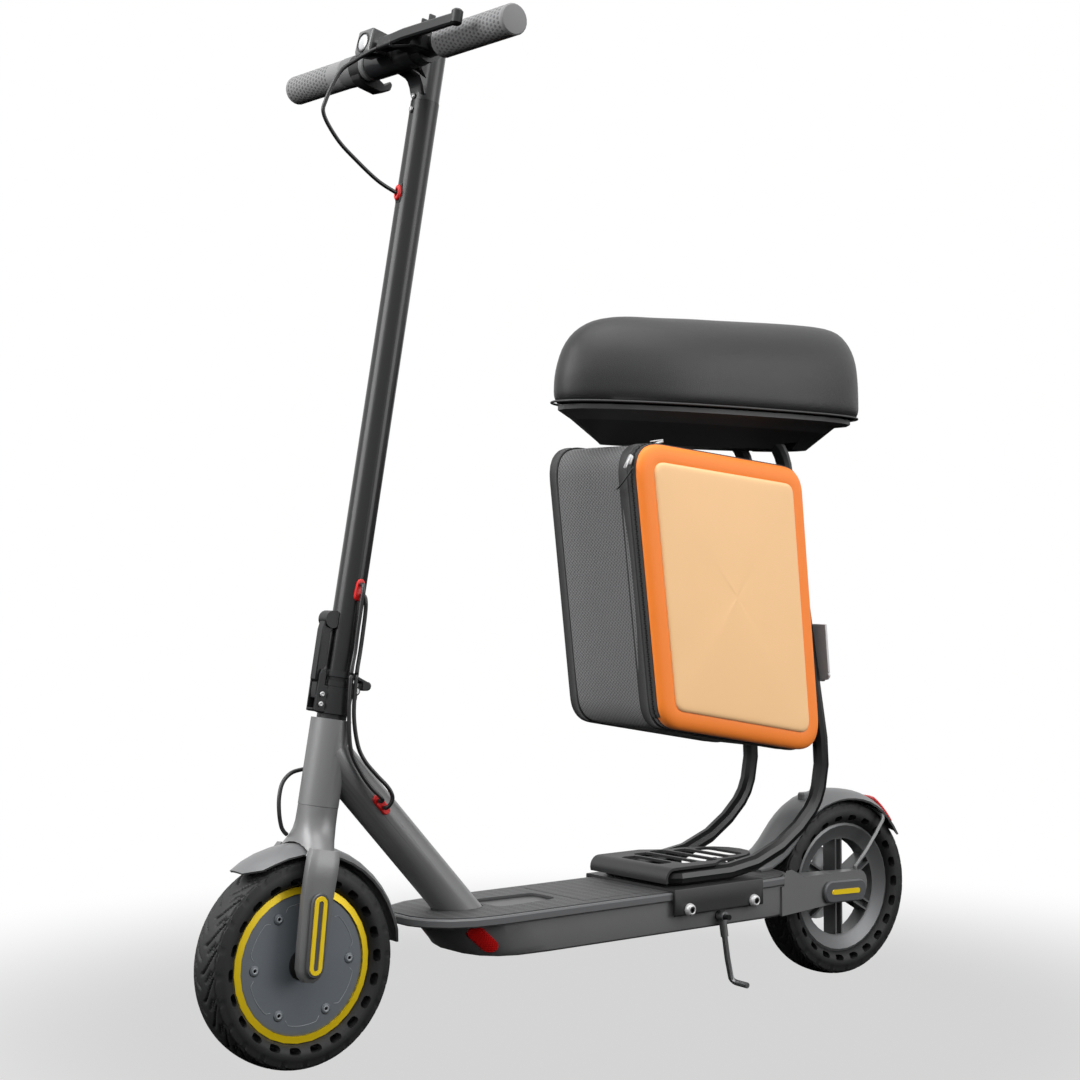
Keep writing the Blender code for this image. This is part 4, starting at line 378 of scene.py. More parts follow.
class Finish:
    """A material that starts from drifting colour and gloss over a fine grain."""

    def __init__(
        self, name, colour, rough, metal=0.0, contrast=0.10, drift=0.10, patch=14.0, grain=1500.0,
        depth=0.00001, **shader,
    ):
        self.material = bpy.data.materials.new(name)
        self.material.use_nodes = True
        self.net = Net(self.material.node_tree)
        self.shader = self.material.node_tree.nodes["Principled BSDF"].inputs
        self.shader["Metallic"].default_value = metal
        for key, value in shader.items():
            self.shader[key.replace("_", " ")].default_value = value
        look = {"Colour": colour_of(colour), "Contrast": contrast, "Roughness": rough, "Gloss_drift": drift}
        base = group(self.net, "variation", Patch_scale=patch, Grain_scale=grain, **look)
        self.paint(base["Colour"])
        self.net.put(self.shader["Roughness"], base["Roughness"])
        self.normal = None
        self.relief(base["Height"], depth)

    def paint(self, colour):
        self.painted = colour
        self.net.put(self.shader["Base Color"], colour)

    def over(self, mask, colour):
        """Paints a second colour where the mask is 1."""
        self.paint(self.net.mix(mask, self.painted, colour_of(colour)))

    def relief(self, height, depth):
        """Raises the surface by this height, over the relief that it has."""
        bump = self.net.add("ShaderNodeBump", Strength=1.0, Distance=depth, Height=height)
        if self.normal is not None:
            self.net.put(bump.inputs["Normal"], self.normal)
        self.normal = bump.outputs[0]
        self.net.put(self.shader["Normal"], self.normal)

    def place(self):
        """Where a point of the piece lies in the part's frame."""
        return self.net.split(self.net.value("ShaderNodeTexCoord", out="Object"))

    def steering_place(self):
        """The same, along, across and up the steering axis."""
        x, y, z = self.place()
        dx, dz = x - FRONT_AXLE.x, z - FRONT_AXLE.z
        sin, cos = math.sin(RAKE), math.cos(RAKE)
        return dx * cos + dz * sin, y, dz * cos - dx * sin

    def strip_place(self):
        """Where a point lies along the bag's edge and across it."""
        return self.net.split(self.net.value("ShaderNodeUVMap", uv_map="strip"))[:2]

    def pill(self, u, v, start, end, radius):
        ends = {"U1": start[0], "V1": start[1], "U2": end[0], "V2": end[1]}
        return group(self.net, "pill", U=u, V=v, Radius=radius, **ends)["Mask"]


# Each finish: its colour, its roughness, and where it differs from the usual

FINISHES = {
    "gunmetal_paint": dict(
        colour="frame.gunmetal", rough=0.40, metal=0.30, drift=0.06, patch=9.0, grain=2600.0, depth=0.000012,
        Coat_Weight=0.15, Coat_Roughness=0.25,
    ),
    "black_paint": dict(
        colour="frame.black", rough=0.33, contrast=0.12, drift=0.08, patch=11.0, grain=1800.0,
        Coat_Weight=0.12, Coat_Roughness=0.18, Specular_IOR_Level=0.32,
    ),
    "black_alloy": dict(
        colour=(0.0125, 0.013, 0.014), rough=0.42, contrast=0.16, depth=0.00002, Specular_IOR_Level=0.35
    ),
    "black_plastic": dict(
        colour=(0.013, 0.013, 0.0135), rough=0.46, contrast=0.16, drift=0.08, grain=1300.0, depth=0.00003,
        Specular_IOR_Level=0.35,
    ),
    "trim_moulding": dict(colour=(0.100, 0.102, 0.105), rough=0.48, drift=0.08, depth=0.00003),
    "fender_plastic": dict(
        colour=(0.150, 0.152, 0.155), rough=0.42, metal=0.25, drift=0.06, grain=1700.0, depth=0.00002
    ),
    "plain_steel": dict(
        colour=(0.52, 0.525, 0.53), rough=0.30, metal=1.0, drift=0.14, patch=40.0, grain=1200.0
    ),
    "bright_steel": dict(colour=(0.56, 0.56, 0.565), rough=0.30, metal=0.25, patch=60.0),
    "cast_alloy": dict(
        colour=(0.30, 0.305, 0.31), rough=0.40, metal=0.9, contrast=0.12, drift=0.12, patch=30.0, grain=700.0,
        depth=0.00006,
    ),
    "red_rubber": dict(
        colour="frame.red", rough=0.40, contrast=0.16, drift=0.08, grain=1400.0, depth=0.00002
    ),
    "red_reflector": dict(colour="frame.red", rough=0.16, drift=0.04, grain=600.0, Coat_Weight=0.6),
    "cable_jacket": dict(
        colour=(0.016, 0.016, 0.017), rough=0.34, drift=0.08, patch=40.0, grain=1000.0, depth=0.00002
    ),
    "tyre_rubber": dict(
        colour="tyre.rubber", rough=0.58, contrast=0.30, drift=0.12, patch=26.0, grain=900.0, depth=0.00006,
        Specular_IOR_Level=0.35,
    ),
    "hub_motor_case": dict(colour=(0.030, 0.031, 0.033), rough=0.36, metal=0.4, Coat_Weight=0.2),
    "hub_cover": dict(
        colour=(0.115, 0.130, 0.145), rough=0.44, drift=0.08, patch=16.0, grain=1600.0, depth=0.00002
    ),
    "hub_cover_edge": dict(colour=(0.30, 0.32, 0.34), rough=0.34, contrast=0.08, grain=1600.0),
    "rear_rim_paint": dict(
        colour=(0.125, 0.127, 0.130), rough=0.38, metal=0.45, contrast=0.12, drift=0.08, grain=2000.0
    ),
    "disc_steel": dict(colour=(0.50, 0.505, 0.51), rough=0.30, metal=1.0, contrast=0.08, grain=900.0),
    "fork_cover_finish": dict(colour=(0.085, 0.087, 0.090), rough=0.38, metal=0.3, grain=1600.0),
    "arm_cover_finish": dict(colour=(0.105, 0.108, 0.112), rough=0.38, metal=0.3, grain=1600.0),
    "deck_rubber": dict(
        colour=(0.052, 0.0525, 0.054), rough=0.60, contrast=0.14, drift=0.08, patch=20.0, grain=1100.0,
        depth=0.00004,
    ),
    "grip_rubber": dict(
        colour="frame.grip", rough=0.62, contrast=0.12, drift=0.06, patch=20.0, grain=1200.0, depth=0.00004
    ),
    "throttle_sleeve": dict(colour=(0.115, 0.116, 0.118), rough=0.50, grain=1300.0, depth=0.00003),
    "lamp_case": dict(colour=(0.018, 0.018, 0.019), rough=0.30, Coat_Weight=0.3),
    "lamp_lens": dict(
        colour=(0.48, 0.49, 0.50), rough=0.12, drift=0.04, patch=60.0, grain=500.0, depth=0.00002,
        Coat_Weight=0.8,
    ),
    "stem_head_finish": dict(colour=(0.016, 0.0165, 0.018), rough=0.38, contrast=0.14),
    "seat_vinyl": dict(
        colour="seat.vinyl", rough=0.44, contrast=0.18, patch=9.0, depth=0.00003, Specular_IOR_Level=0.45
    ),
    "seat_pan_plastic": dict(
        colour=(0.010, 0.010, 0.0105), rough=0.50, contrast=0.14, drift=0.08, grain=1000.0, depth=0.00005
    ),
    "bag_air_mesh": dict(
        colour="bag.cloth", rough=0.78, contrast=0.16, drift=0.04, patch=12.0, depth=0.00006, Sheen_Weight=0.2
    ),
    "binding_tape": dict(
        colour="bag.binding", rough=0.62, contrast=0.20, drift=0.06, patch=25.0, grain=1300.0, depth=0.00005,
        Sheen_Weight=0.2,
    ),
    "lid_border_cloth": dict(
        colour="bag.border", rough=0.55, contrast=0.07, drift=0.06, patch=7.0, depth=0.00005, Sheen_Weight=0.1
    ),
    "lid_panel_cloth": dict(
        colour="bag.panel", rough=0.55, contrast=0.07, drift=0.06, patch=7.0, depth=0.00005, Sheen_Weight=0.1
    ),
    "battery_wrap": dict(colour=(0.035, 0.12, 0.36), rough=0.35, contrast=0.12, grain=900.0, depth=0.00003),
}


# Where the deck's paint shows through the mat's front recess, darkened there with painted shade: middle, half
# length, half width and height

RECESS_X, RECESS_HALF_LENGTH, RECESS_HALF_WIDTH = 0.1078, 0.0480, 0.0320
RECESS_FLOOR, RECESS_TOLERANCE = TYRE_R + 0.0315, 0.0012


def painted_recess_shade(made):
    """Painted shade: the deck is darkened inside the mat's front recess, where shade falls."""
    x, y, z = made.place()
    inside = (abs(x - RECESS_X) < RECESS_HALF_LENGTH) * (abs(y) < RECESS_HALF_WIDTH)
    # Painted shade: the recess floor is coloured dark.
    made.over(inside * (abs(z - RECESS_FLOOR) < RECESS_TOLERANCE), (0.034, 0.0345, 0.036))


def prisms(made):
    """A grid of small prisms under a red lens."""
    x, y, z = made.place()
    prism = made.net.maths("PINGPONG", x, 0.0012) * made.net.maths("PINGPONG", z, 0.0012)
    made.relief(prism * 700000.0, 0.0004)


def yellow_ring(made):
    """The hub motor's case: a yellow rim round a satin grey drum."""
    around = group(made.net, "axle", Centre=tuple(FRONT_AXLE))
    made.over(made.net.ramp(around["Radius"], 0.0722, 0.0724), "frame.yellow")


def turning_lines(made):
    """Fine turning lines on the brake disc."""
    around = group(made.net, "axle", Centre=tuple(REAR_AXLE))
    made.relief(made.net.maths("SINE", around["Radius"] * 9000.0), 0.00001)


def fork_band(made):
    """A yellow outline, long and round-ended, on each fork cover."""
    w, y, u = made.steering_place()
    ends = (0.0038, 0.0005), (0.0088, 0.0650)
    made.over(made.pill(w, u, *ends, 0.0073) - made.pill(w, u, *ends, 0.0027), "frame.yellow")


def arm_band(made):
    """A yellow stripe on each rear arm's cover."""
    x, y, z = made.place()
    stripe = made.pill(x - REAR_AXLE.x, z - REAR_AXLE.z, (0.0081, 0.0012), (0.0599, 0.0048), 0.0031)
    made.over(stripe, "frame.yellow")


def deck_ribs(made):
    """The mat's staggered short ribs, sunk into its top and darkened there with painted shade."""
    x, y, z = made.place()
    dash = group(made.net, "dashes", U=y / 0.0052, V=x / 0.0150, Fill_U=0.62, Fill_V=0.60)["Mask"]
    dash = dash * (z > TYRE_R + 0.0344)
    # Painted shade: the sunken ribs are coloured darker.
    made.over(dash * 0.55, (0.022, 0.022, 0.023))
    made.relief(dash * -1.0, 0.0007)


def grip_dots(made):
    """Rows of raised dots round each grip, which stop short of its ends and of the throttle."""
    around = group(made.net, "axle", Centre=tuple(steer(BAR_W, 0, BAR_U)))
    u, v = around["Turn"] * 22.0, around["Along"] / 0.0062
    dots = group(made.net, "dashes", U=u, V=v, Fill_U=0.62, Fill_V=0.56)["Mask"]
    far = abs(around["Along"])
    field = made.net.ramp(far, 0.0905, 0.0915) * made.net.ramp(far, 0.2095, 0.2085)
    past_throttle = made.net.maths("MAXIMUM", around["Along"] > 0.0, made.net.ramp(far, 0.1240, 0.1250))
    outside = made.net.ramp(around["Radius"], GRIP_R - 0.0010, GRIP_R - 0.0006)
    dots = dots * field * (past_throttle * outside)
    made.over(dots * 0.62, (0.050, 0.050, 0.052))
    made.relief(dots, 0.0011)


def lamp_front(made):
    """The lamp case's paler front."""
    w, y, u = made.steering_place()
    made.over(made.net.ramp(w, 0.0862, 0.0872), (0.075, 0.076, 0.078))


def head_strip(made):
    """A plain grey strip down the stem head's back."""
    w, y, u = made.steering_place()
    made.over(made.net.ramp(w, -0.0085, -0.0095), (0.125, 0.126, 0.128))


def creases(made):
    """Soft, fine leather creases."""
    place = made.net.value("ShaderNodeTexCoord", out="Object")
    cells = {"feature": "DISTANCE_TO_EDGE", "Vector": place, "Scale": 620.0, "Randomness": 0.9}
    edges = made.net.value("ShaderNodeTexVoronoi", out="Distance", **cells)
    made.relief(made.net.ramp(edges, 0.0, 0.16), 0.00006)


def pan_edge(made):
    """The paler edge of the seat's pan, under the welt."""
    x, y, z = made.place()
    level = z - (x - (REAR_X + SEAT_MID)) * SEAT_SLOPE
    made.over(made.net.ramp(level, TYRE_R + 0.5705, TYRE_R + 0.5712), (0.034, 0.034, 0.035))


def mesh_holes(made):
    """Rows of small holes along the bag's edge."""
    u, v = made.strip_place()
    pitch = settings().bag.weave
    weave = group(made.net, "air_mesh", U=u / pitch, V=v / (pitch * 0.62), Hole=0.46)
    made.over(weave["Hole mask"] * 0.88, (0.020, 0.020, 0.021))
    made.relief(weave["Height"], 0.0004)


def webbing(made):
    """Fine ribs along the tape, crossed by finer threads."""
    u, v = made.strip_place()
    ribs, threads = made.net.maths("PINGPONG", v, 0.00065), made.net.maths("PINGPONG", u, 0.00045)
    made.relief(ribs * 1000.0 + threads * 500.0, 0.00022)


def lid_threads(made):
    """The lid cloth's crossing threads."""
    x, y, z = made.place()
    threads = made.net.maths("PINGPONG", x, 0.0004) + made.net.maths("PINGPONG", z, 0.0004)
    made.relief(threads * 1200.0, 0.00005)


DETAILS = {
    "gunmetal_paint": painted_recess_shade,
    "red_reflector": prisms,
    "hub_motor_case": yellow_ring,
    "disc_steel": turning_lines,
    "fork_cover_finish": fork_band,
    "arm_cover_finish": arm_band,
    "deck_rubber": deck_ribs,
    "grip_rubber": grip_dots,
    "lamp_case": lamp_front,
    "stem_head_finish": head_strip,
    "seat_vinyl": creases,
    "seat_pan_plastic": pan_edge,
    "bag_air_mesh": mesh_holes,
    "binding_tape": webbing,
    "lid_border_cloth": lid_threads,
    "lid_panel_cloth": lid_threads,
}

NODE_FINISHES = {
    "gunmetal_paint": ("chassis", "neck_tube", "fork", "fender_stay"),
    "trim_moulding": ("edge_trim",),
    "fender_plastic": ("front_fender", "rear_fender"),
    "black_plastic": ("bottom_cover", "throttle_lever", "power_button"),
    "battery_wrap": ("battery_pack",),
    "cast_alloy": ("controller", "brake_caliper", "kickstand"),
    "red_reflector": ("side_reflector_left", "side_reflector_right", "tail_light"),
    "arm_cover_finish": ("arm_cover_left", "arm_cover_right"),
    "fork_cover_finish": ("fork_cover_left", "fork_cover_right"),
    "plain_steel": ("rear_axle", "front_axle", "hinge_pin", "lower_bearing"),
    "bright_steel": ("bag_bracket",),
    "black_paint": ("kickstand_bracket", "stem_tube", "handlebar", "seat_frame"),
    "red_rubber": ("neck_grommet", "stem_grommet"),
    "black_alloy": ("folding_base", "fold_lever", "lock_ring", "brake_perch", "brake_lever", "bell_lever"),
    "stem_head_finish": ("stem_head",),
    "throttle_sleeve": ("throttle_housing",),
    "lamp_case": ("headlight",),
    "grip_rubber": ("grip_left", "grip_right"),
    "hub_motor_case": ("front_hub_motor",),
    "rear_rim_paint": ("rear_rim",),
    "disc_steel": ("rear_brake_disc",),
    "deck_rubber": ("deck_mat",),
    "seat_pan_plastic": ("seat_pan", "seat_saddle", "seat_base_plate"),
}

MATERIALS = {}


def material(name):
    """The named finish's material, made once."""
    if name not in MATERIALS:
        made = Finish(name, **FINISHES[name])
        if name in DETAILS:
            DETAILS[name](made)
        MATERIALS[name] = made.material
    return MATERIALS[name]


def shading_by_angle():
    """Geometry nodes that shade a faceted solid smooth, apart from its edges over 32 degrees."""
    tree = bpy.data.node_groups.new("Shade smooth by angle", "GeometryNodeTree")
    for way in ("INPUT", "OUTPUT"):
        tree.interface.new_socket("Geometry", in_out=way, socket_type="NodeSocketGeometry")
    net = Net(tree)
    shape = net.add("NodeGroupInput").outputs[0]
    shape = net.value("GeometryNodeRemoveAttribute", Geometry=shape, Name="custom_normal")
    shape = net.value("GeometryNodeMergeByDistance", Geometry=shape, Distance=2e-6)
    shape = net.value("GeometryNodeSetShadeSmooth", domain="FACE", Geometry=shape, Shade_Smooth=True)
    angle = net.value("GeometryNodeInputMeshEdgeAngle", out="Unsigned Angle")
    within = {"data_type": "FLOAT", "operation": "LESS_EQUAL"}
    flat = net.value("FunctionNodeCompare", angle, math.radians(32), **within)
    shape = net.value("GeometryNodeSetShadeSmooth", domain="EDGE", Geometry=shape, Shade_Smooth=flat)
    return net.give(Geometry=shape)


def use(obj, kind, body, replaced=(), smooth=True):
    """Finishes a new piece: its material, its body, and the nodes that it stands for."""
    obj.data.materials.clear()
    obj.data.materials.append(material(kind))
    if smooth:
        for face in obj.data.polygons:
            face.use_smooth = True
    if body:
        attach(obj, body)
    if replaced:
        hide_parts(*replaced)


# Mesh helpers


@contextmanager
def editing(obj):
    """The mesh of an object, open for changes."""
    bm = bmesh.new()
    bm.from_mesh(obj.data)
    bm.verts.ensure_lookup_table()
    yield bm
    bm.to_mesh(obj.data)
    bm.free()


def new_object(name, bm, at=None):
    """An object from this mesh, facing out."""
    bmesh.ops.recalc_face_normals(bm, faces=bm.faces)
    mesh = bpy.data.meshes.new(name)
    bm.to_mesh(mesh)
    bm.free()
    if at is not None:
        mesh.transform(at)
    obj = bpy.data.objects.new(name, mesh)
    bpy.context.scene.collection.objects.link(obj)
    return obj


def skin(name, rings, at=None, ends=True):
    """A surface through rings of points, each ring the same length."""
    bm = bmesh.new()
    loops = [[bm.verts.new(point) for point in ring] for ring in rings]
    count = len(loops[0])
    for low, high in zip(loops, loops[1:]):
        for i in range(count):
            j = (i + 1) % count
            bm.faces.new((low[i], low[j], high[j], high[i]))
    if ends:
        bm.faces.new(loops[0])
        bm.faces.new(loops[-1])
    return new_object(name, bm, at)


def welded(obj):
    """Joins the points of a ring-shaped piece where it closes."""
    with editing(obj) as bm:
        bmesh.ops.remove_doubles(bm, verts=bm.verts, dist=1e-6)
        bmesh.ops.recalc_face_normals(bm, faces=bm.faces)
    return obj


def joined(name, pieces):
    """One object of several separate closed pieces."""
    bm = bmesh.new()
    for piece in pieces:
        bm.from_mesh(piece.data)
        bpy.data.objects.remove(piece)
    return new_object(name, bm)


def face_away(obj, middle):
    """Turns all the faces of a sheet away from this point."""
    with editing(obj) as bm:
        bmesh.ops.recalc_face_normals(bm, faces=bm.faces)
        away = sum((f.calc_center_median() - middle).dot(f.normal) * f.calc_area() for f in bm.faces)
        if away < 0:
            bmesh.ops.reverse_faces(bm, faces=bm.faces)


def capped(sheet, count):
    """Closes a sheet's last ring, of this many points, with one face."""
    with editing(sheet) as bm:
        bm.faces.new([bm.verts[i] for i in range(len(bm.verts) - count, len(bm.verts))])
    return sheet


def circle(radius, count):
    """Points round a circle: (across, up)."""
    turns = (2 * math.pi * i / count for i in range(count))
    return [(radius * math.cos(turn), radius * math.sin(turn)) for turn in turns]


def lathe(name, profile, at, axis="Y", steps=64):
    """A turned piece: radius and place along its axis. Its ends are flat unless the profile closes."""
    rings = []
    for radius, along in profile:
        spots = circle(max(radius, 1e-5), steps)
        if axis == "Y":
            rings.append([(c, along, s) for c, s in spots])
        elif axis == "X":
            rings.append([(along, c, s) for c, s in spots])
        else:
            rings.append([(c, s, along) for c, s in spots])
    if profile[0] == profile[-1]:
        return welded(skin(name, rings, at, ends=False))
    return skin(name, rings, at)


def hoop(name, path, section):
    """Carries a section round a closed path that is nearly level: each of its points is (out, up)."""
    up = Vector((0, 0, 1))
    rings = []
    for i, point in enumerate(path):
        ahead = (path[(i + 1) % len(path)] - path[i - 1]).normalized()
        out = ahead.cross(up).normalized()
        rings.append([point + out * o + up * u for o, u in section])
    return welded(skin(name, rings + rings[:1], ends=False))


def tube(name, path, radius, sides=14, at=None):
    """A round tube along a smooth path, with its section carried along without twisting."""
    path = [Vector(point) for point in path]
    side = (path[1] - path[0]).normalized().orthogonal().normalized()
    rings = []
    for i, point in enumerate(path):
        ahead = (path[min(i + 1, len(path) - 1)] - path[max(i - 1, 0)]).normalized()
        side = (side - ahead * side.dot(ahead)).normalized()
        other = ahead.cross(side)
        rings.append([point + (side * c + other * s) * radius for c, s in circle(1.0, sides)])
    return skin(name, rings, at)


def smooth_path(points, spacing):
    """Evenly spaced points along a smooth curve through the given ones."""
    points = [Vector(point) for point in points]
    chain = [2 * points[0] - points[1]] + points + [2 * points[-1] - points[-2]]
    fine = []
    for a, b, c, d in zip(chain, chain[1:], chain[2:], chain[3:]):
        for step in range(20):
            t = step / 20
            bend = (2 * a - 5 * b + 4 * c - d) * t * t + (3 * b - a - 3 * c + d) * t * t * t
            fine.append(0.5 * (2 * b + (c - a) * t + bend))
    fine.append(points[-1])
    route, walked = [fine[0]], 0.0
    for a, b in zip(fine, fine[1:]):
        walked += (b - a).length
        if walked >= spacing:
            route.append(b)
            walked = 0.0
    if (route[-1] - fine[-1]).length > spacing * 0.4:
        route.append(fine[-1])
    return route


def pill(start, end, radius, count=10):
    """A flat outline with straight sides and round ends."""
    start, end = Vector(start), Vector(end)
    angle = math.atan2(end.y - start.y, end.x - start.x)
    points = []
    for middle, first in ((end, angle - math.pi / 2), (start, angle + math.pi / 2)):
        for i in range(count + 1):
            turn = first + math.pi * i / count
            points.append((middle.x + radius * math.cos(turn), middle.y + radius * math.sin(turn)))
    return points


def rounded(corners, radius, count=8):
    """A closed outline with each corner rounded."""
    points = []
    for i, corner in enumerate(corners):
        at = Vector(corner)
        into = (at - Vector(corners[i - 1])).normalized()
        away = (Vector(corners[(i + 1) % len(corners)]) - at).normalized()
        half = math.acos(max(-1, min(1, into.dot(away)))) / 2
        reach = radius * math.tan(half)
        start, end = at - into * reach, at + away * reach
        for k in range(count + 1):
            t = k / count
            points.append(tuple(start.lerp(at, t).lerp(at.lerp(end, t), t)))
    return points


def evenly(outline, count):
    """The same closed outline with this many evenly spaced points."""
    points = [Vector(point) for point in outline]
    points.append(points[0])
    lengths = [(b - a).length for a, b in zip(points, points[1:])]
    result, i, passed = [], 0, 0.0
    for k in range(count):
        target = sum(lengths) * k / count
        while passed + lengths[i] < target:
            passed += lengths[i]
            i += 1
        result.append(points[i].lerp(points[i + 1], (target - passed) / max(lengths[i], 1e-9)))
    return result


def screw_head(name, at, direction, radius, height):
    """A low domed screw head with a socket in it."""
    shares = (
        (0.0, 0.35), (0.45, 0.35), (0.486, 0.92), (0.62, 1.0), (0.88, 0.72), (1.0, 0.25), (1.0, -0.3),
        (0.0, -0.3),
    )
    profile = [(radius * out, height * along) for out, along in shares]
    turn = Vector((0, 0, 1)).rotation_difference(Vector(direction)).to_matrix().to_4x4()
    return lathe(name, profile, Matrix.Translation(at) @ turn, "Z", 24)


def subdivided(obj):
    """One level of subdivision, also in the render."""
    finer = obj.modifiers.new("finer", "SUBSURF")
    finer.levels = finer.render_levels = 1
    finer.use_limit_surface = False


def walled(obj, thickness):
    """Gives a sheet its thickness, inwards."""
    wall = obj.modifiers.new("wall", "SOLIDIFY")
    wall.thickness, wall.offset, wall.use_even_offset = thickness, -1, True
    return obj


def swelled(obj, held, cap, pressure, frames=20, smoothing=10):
    """Swells a cover with cloth under pressure. No point moves further than cap, and the held points stay."""
    start = [v.co.copy() for v in obj.data.vertices]
    pins = obj.vertex_groups.new(name="held")
    pins.add([i for i, co in enumerate(start) if held(co)], 1.0, "REPLACE")
    padding = obj.modifiers.new("padding", "CLOTH")
    cloth = padding.settings
    cloth.vertex_group_mass = pins.name
    cloth.quality = 5
    cloth.mass = 0.3
    cloth.tension_stiffness = cloth.compression_stiffness = 18
    cloth.shear_stiffness = 8
    cloth.bending_stiffness = 1.5
    cloth.use_pressure = True
    cloth.uniform_pressure_force = pressure
    cloth.effector_weights.gravity = 0
    padding.collision_settings.use_collision = False
    padding.point_cache.frame_start, padding.point_cache.frame_end = 1, frames
    for step in range(1, frames + 1):
        bpy.context.scene.frame_set(step)
    result = obj.evaluated_get(bpy.context.evaluated_depsgraph_get())
    shifts = [v.co - a for a, v in zip(start, result.data.vertices)]
    obj.modifiers.remove(padding)
    obj.vertex_groups.clear()
    bpy.context.scene.frame_set(1)
    for again in range(smoothing):
        shifts = evened(shifts, obj.data.edges)
    for vertex, a, shift in zip(obj.data.vertices, start, shifts):
        if shift.length > cap:
            shift *= cap / shift.length
        vertex.co = a if held(a) else a + shift
    obj.data.update()


def evened(shifts, edges):
    """Each point's shift, averaged with those of the points that it is joined to."""
    total, count = [shift.copy() for shift in shifts], [1] * len(shifts)
    for edge in edges:
        i, j = edge.vertices
        total[i] += shifts[j]
        total[j] += shifts[i]
        count[i] += 1
        count[j] += 1
    return [whole / number for whole, number in zip(total, count)]


# Pieces


class SCOOTER_OT_rigid_finishes(bpy.types.Operator):
    """Give every rigid part its paint, metal, rubber or plastic, and shade its curves smooth"""

    bl_idname = "scooter.rigid_finishes"
    bl_label = "Rigid parts"

    def execute(self, context):
        shading = shading_by_angle()
        for kind, names in NODE_FINISHES.items():
            for name in names:
                node = frame["nodes"][name]
                node.modifiers.new("smooth shading", "NODES").node_group = shading
                if not node.material_slots:
                    node.data.materials.append(material(kind))
                for slot in node.material_slots:
                    slot.material = material(kind)
        return {"FINISHED"}


# The tyres' section, where the tread meets the side wall, and the tread's repeats round the tyre

SIDE_WALL = ((0.0800, 0.0165), (0.0826, 0.0203), (0.0865, 0.0240), (0.0905, 0.02455), (0.0940, 0.0245))
SHOULDER = ((0.0968, 0.0238), (0.0990, 0.0229))
TREAD_STEPS = 17
PITCHES = 24
PITCH_COLUMNS = 26
OPENINGS_R = RIM_R + 0.0068

# Each groove: its shift round the tyre, how far out it starts and ends, and its strength

GROOVES = ((0.0, 0.0015, 0.0212, 1.0), (0.5, 0.0085, 0.0180, 0.8), (0.25, 0.0150, 0.0216, 0.55))
GROOVE_WIDTH = 0.070
GROOVE_FADE = 0.0012
SWEEP_END = 0.0215
RIM_GROOVE, RIM_GROOVE_HALF = 0.0218, 0.0007


def tyre_profile():
    """The tyre's section, from one bead over the tread to the other: (radius, along)."""
    edge_r, edge_y = SHOULDER[-1]
    half = list(SIDE_WALL + SHOULDER)
    for i in range(1, TREAD_STEPS):
        t = 1 - i / TREAD_STEPS
        rise = (TYRE_R - edge_r) * math.cos(math.radians(74) * t) ** 0.86
        half.append((edge_r + rise, edge_y * math.sin(math.pi / 2 * t)))
    return half + [(TYRE_R, 0.0)] + [(r, -y) for r, y in reversed(half)]


def groove_depth(turn, across):
    """How deep the tread is cut at this share of a pitch round the tyre and this distance from its middle."""
    q = abs(across)
    turn += 0.5 if across < 0 else 0.0
    deep = 0.0
    sweep = 1.05 * (min(q, SWEEP_END) / SWEEP_END) ** 1.7
    for shift, inner, outer, strength in GROOVES:
        if inner < q < outer:
            t = (turn - sweep - shift) % 1.0
            t = min(t, 1 - t)
            fade = min(1.0, (q - inner) / GROOVE_FADE, (outer - q) / GROOVE_FADE)
            deep = max(deep, strength * fade * max(0.0, 1 - (t / GROOVE_WIDTH) ** 2))
    rim = abs(q - RIM_GROOVE - RIM_GROOVE_HALF * math.cos(2 * math.pi * turn))
    return max(deep, 0.5 * max(0.0, 1 - (rim / RIM_GROOVE_HALF) ** 2))


TYRES = (("front_tyre", FRONT_AXLE, "front_wheel"), ("rear_tyre", REAR_AXLE, "rear_wheel"))


class SCOOTER_OT_tyres(bpy.types.Operator):
    """Make both solid tyres, with their curved grooves and the openings through their sides"""

    bl_idname = "scooter.tyres"
    bl_label = "Tyres"

    def execute(self, context):
        given = settings().tyre
        for node, axle, body in TYRES:
            at = Matrix.Translation(axle)
            tyre = self.treaded(given.groove_depth, node + "_treaded", at)
            self.cut(tyre, self.openings(given, at))
            use(tyre, "tyre_rubber", body, (node,), smooth=False)
        return {"FINISHED"}

    def treaded(self, depth, name, at):
        columns = PITCHES * PITCH_COLUMNS
        rings = []
        for radius, along in tyre_profile():
            ring = []
            for i in range(columns):
                on_tread = radius > 0.0975
                cut = groove_depth(i / PITCH_COLUMNS % 1.0, along) * depth if on_tread else 0.0
                angle = 2 * math.pi * i / columns
                across = along - math.copysign(cut * 0.4, along)
                ring.append(((radius - cut) * math.cos(angle), across, (radius - cut) * math.sin(angle)))
            rings.append(ring)
        return welded(skin(name, rings + rings[:1], at, ends=False))

    def openings(self, given, at):
        """The cutter for the openings through the side walls."""
        reach = given.opening_length / 2 - given.opening_width / 2
        cutters = []
        for i in range(given.openings):
            turn = Matrix.Rotation(2 * math.pi * i / given.openings, 2)
            ends = [turn @ Vector((OPENINGS_R, shift)) for shift in (-reach, reach)]
            outline = pill(*ends, given.opening_width / 2, 7)
            cutters.append(skin(f"opening_{i}", [[(x, y, z) for x, z in outline] for y in (-0.05, 0.05)], at))
        return joined("tyre_openings", cutters)

    def cut(self, tyre, cutter):
        opening = tyre.modifiers.new("openings", "BOOLEAN")
        opening.operation, opening.solver, opening.object = "DIFFERENCE", "EXACT", cutter
        graph = bpy.context.evaluated_depsgraph_get()
        mesh = bpy.data.meshes.new_from_object(tyre.evaluated_get(graph))
        tyre.modifiers.clear()
        tyre.data = mesh
        bpy.data.objects.remove(cutter)
        for face in mesh.polygons:
            face.use_smooth = True
        mesh.set_sharp_from_angle(angle=math.radians(48))


# The hub cover and what is raised on it: (radius, along the axle)

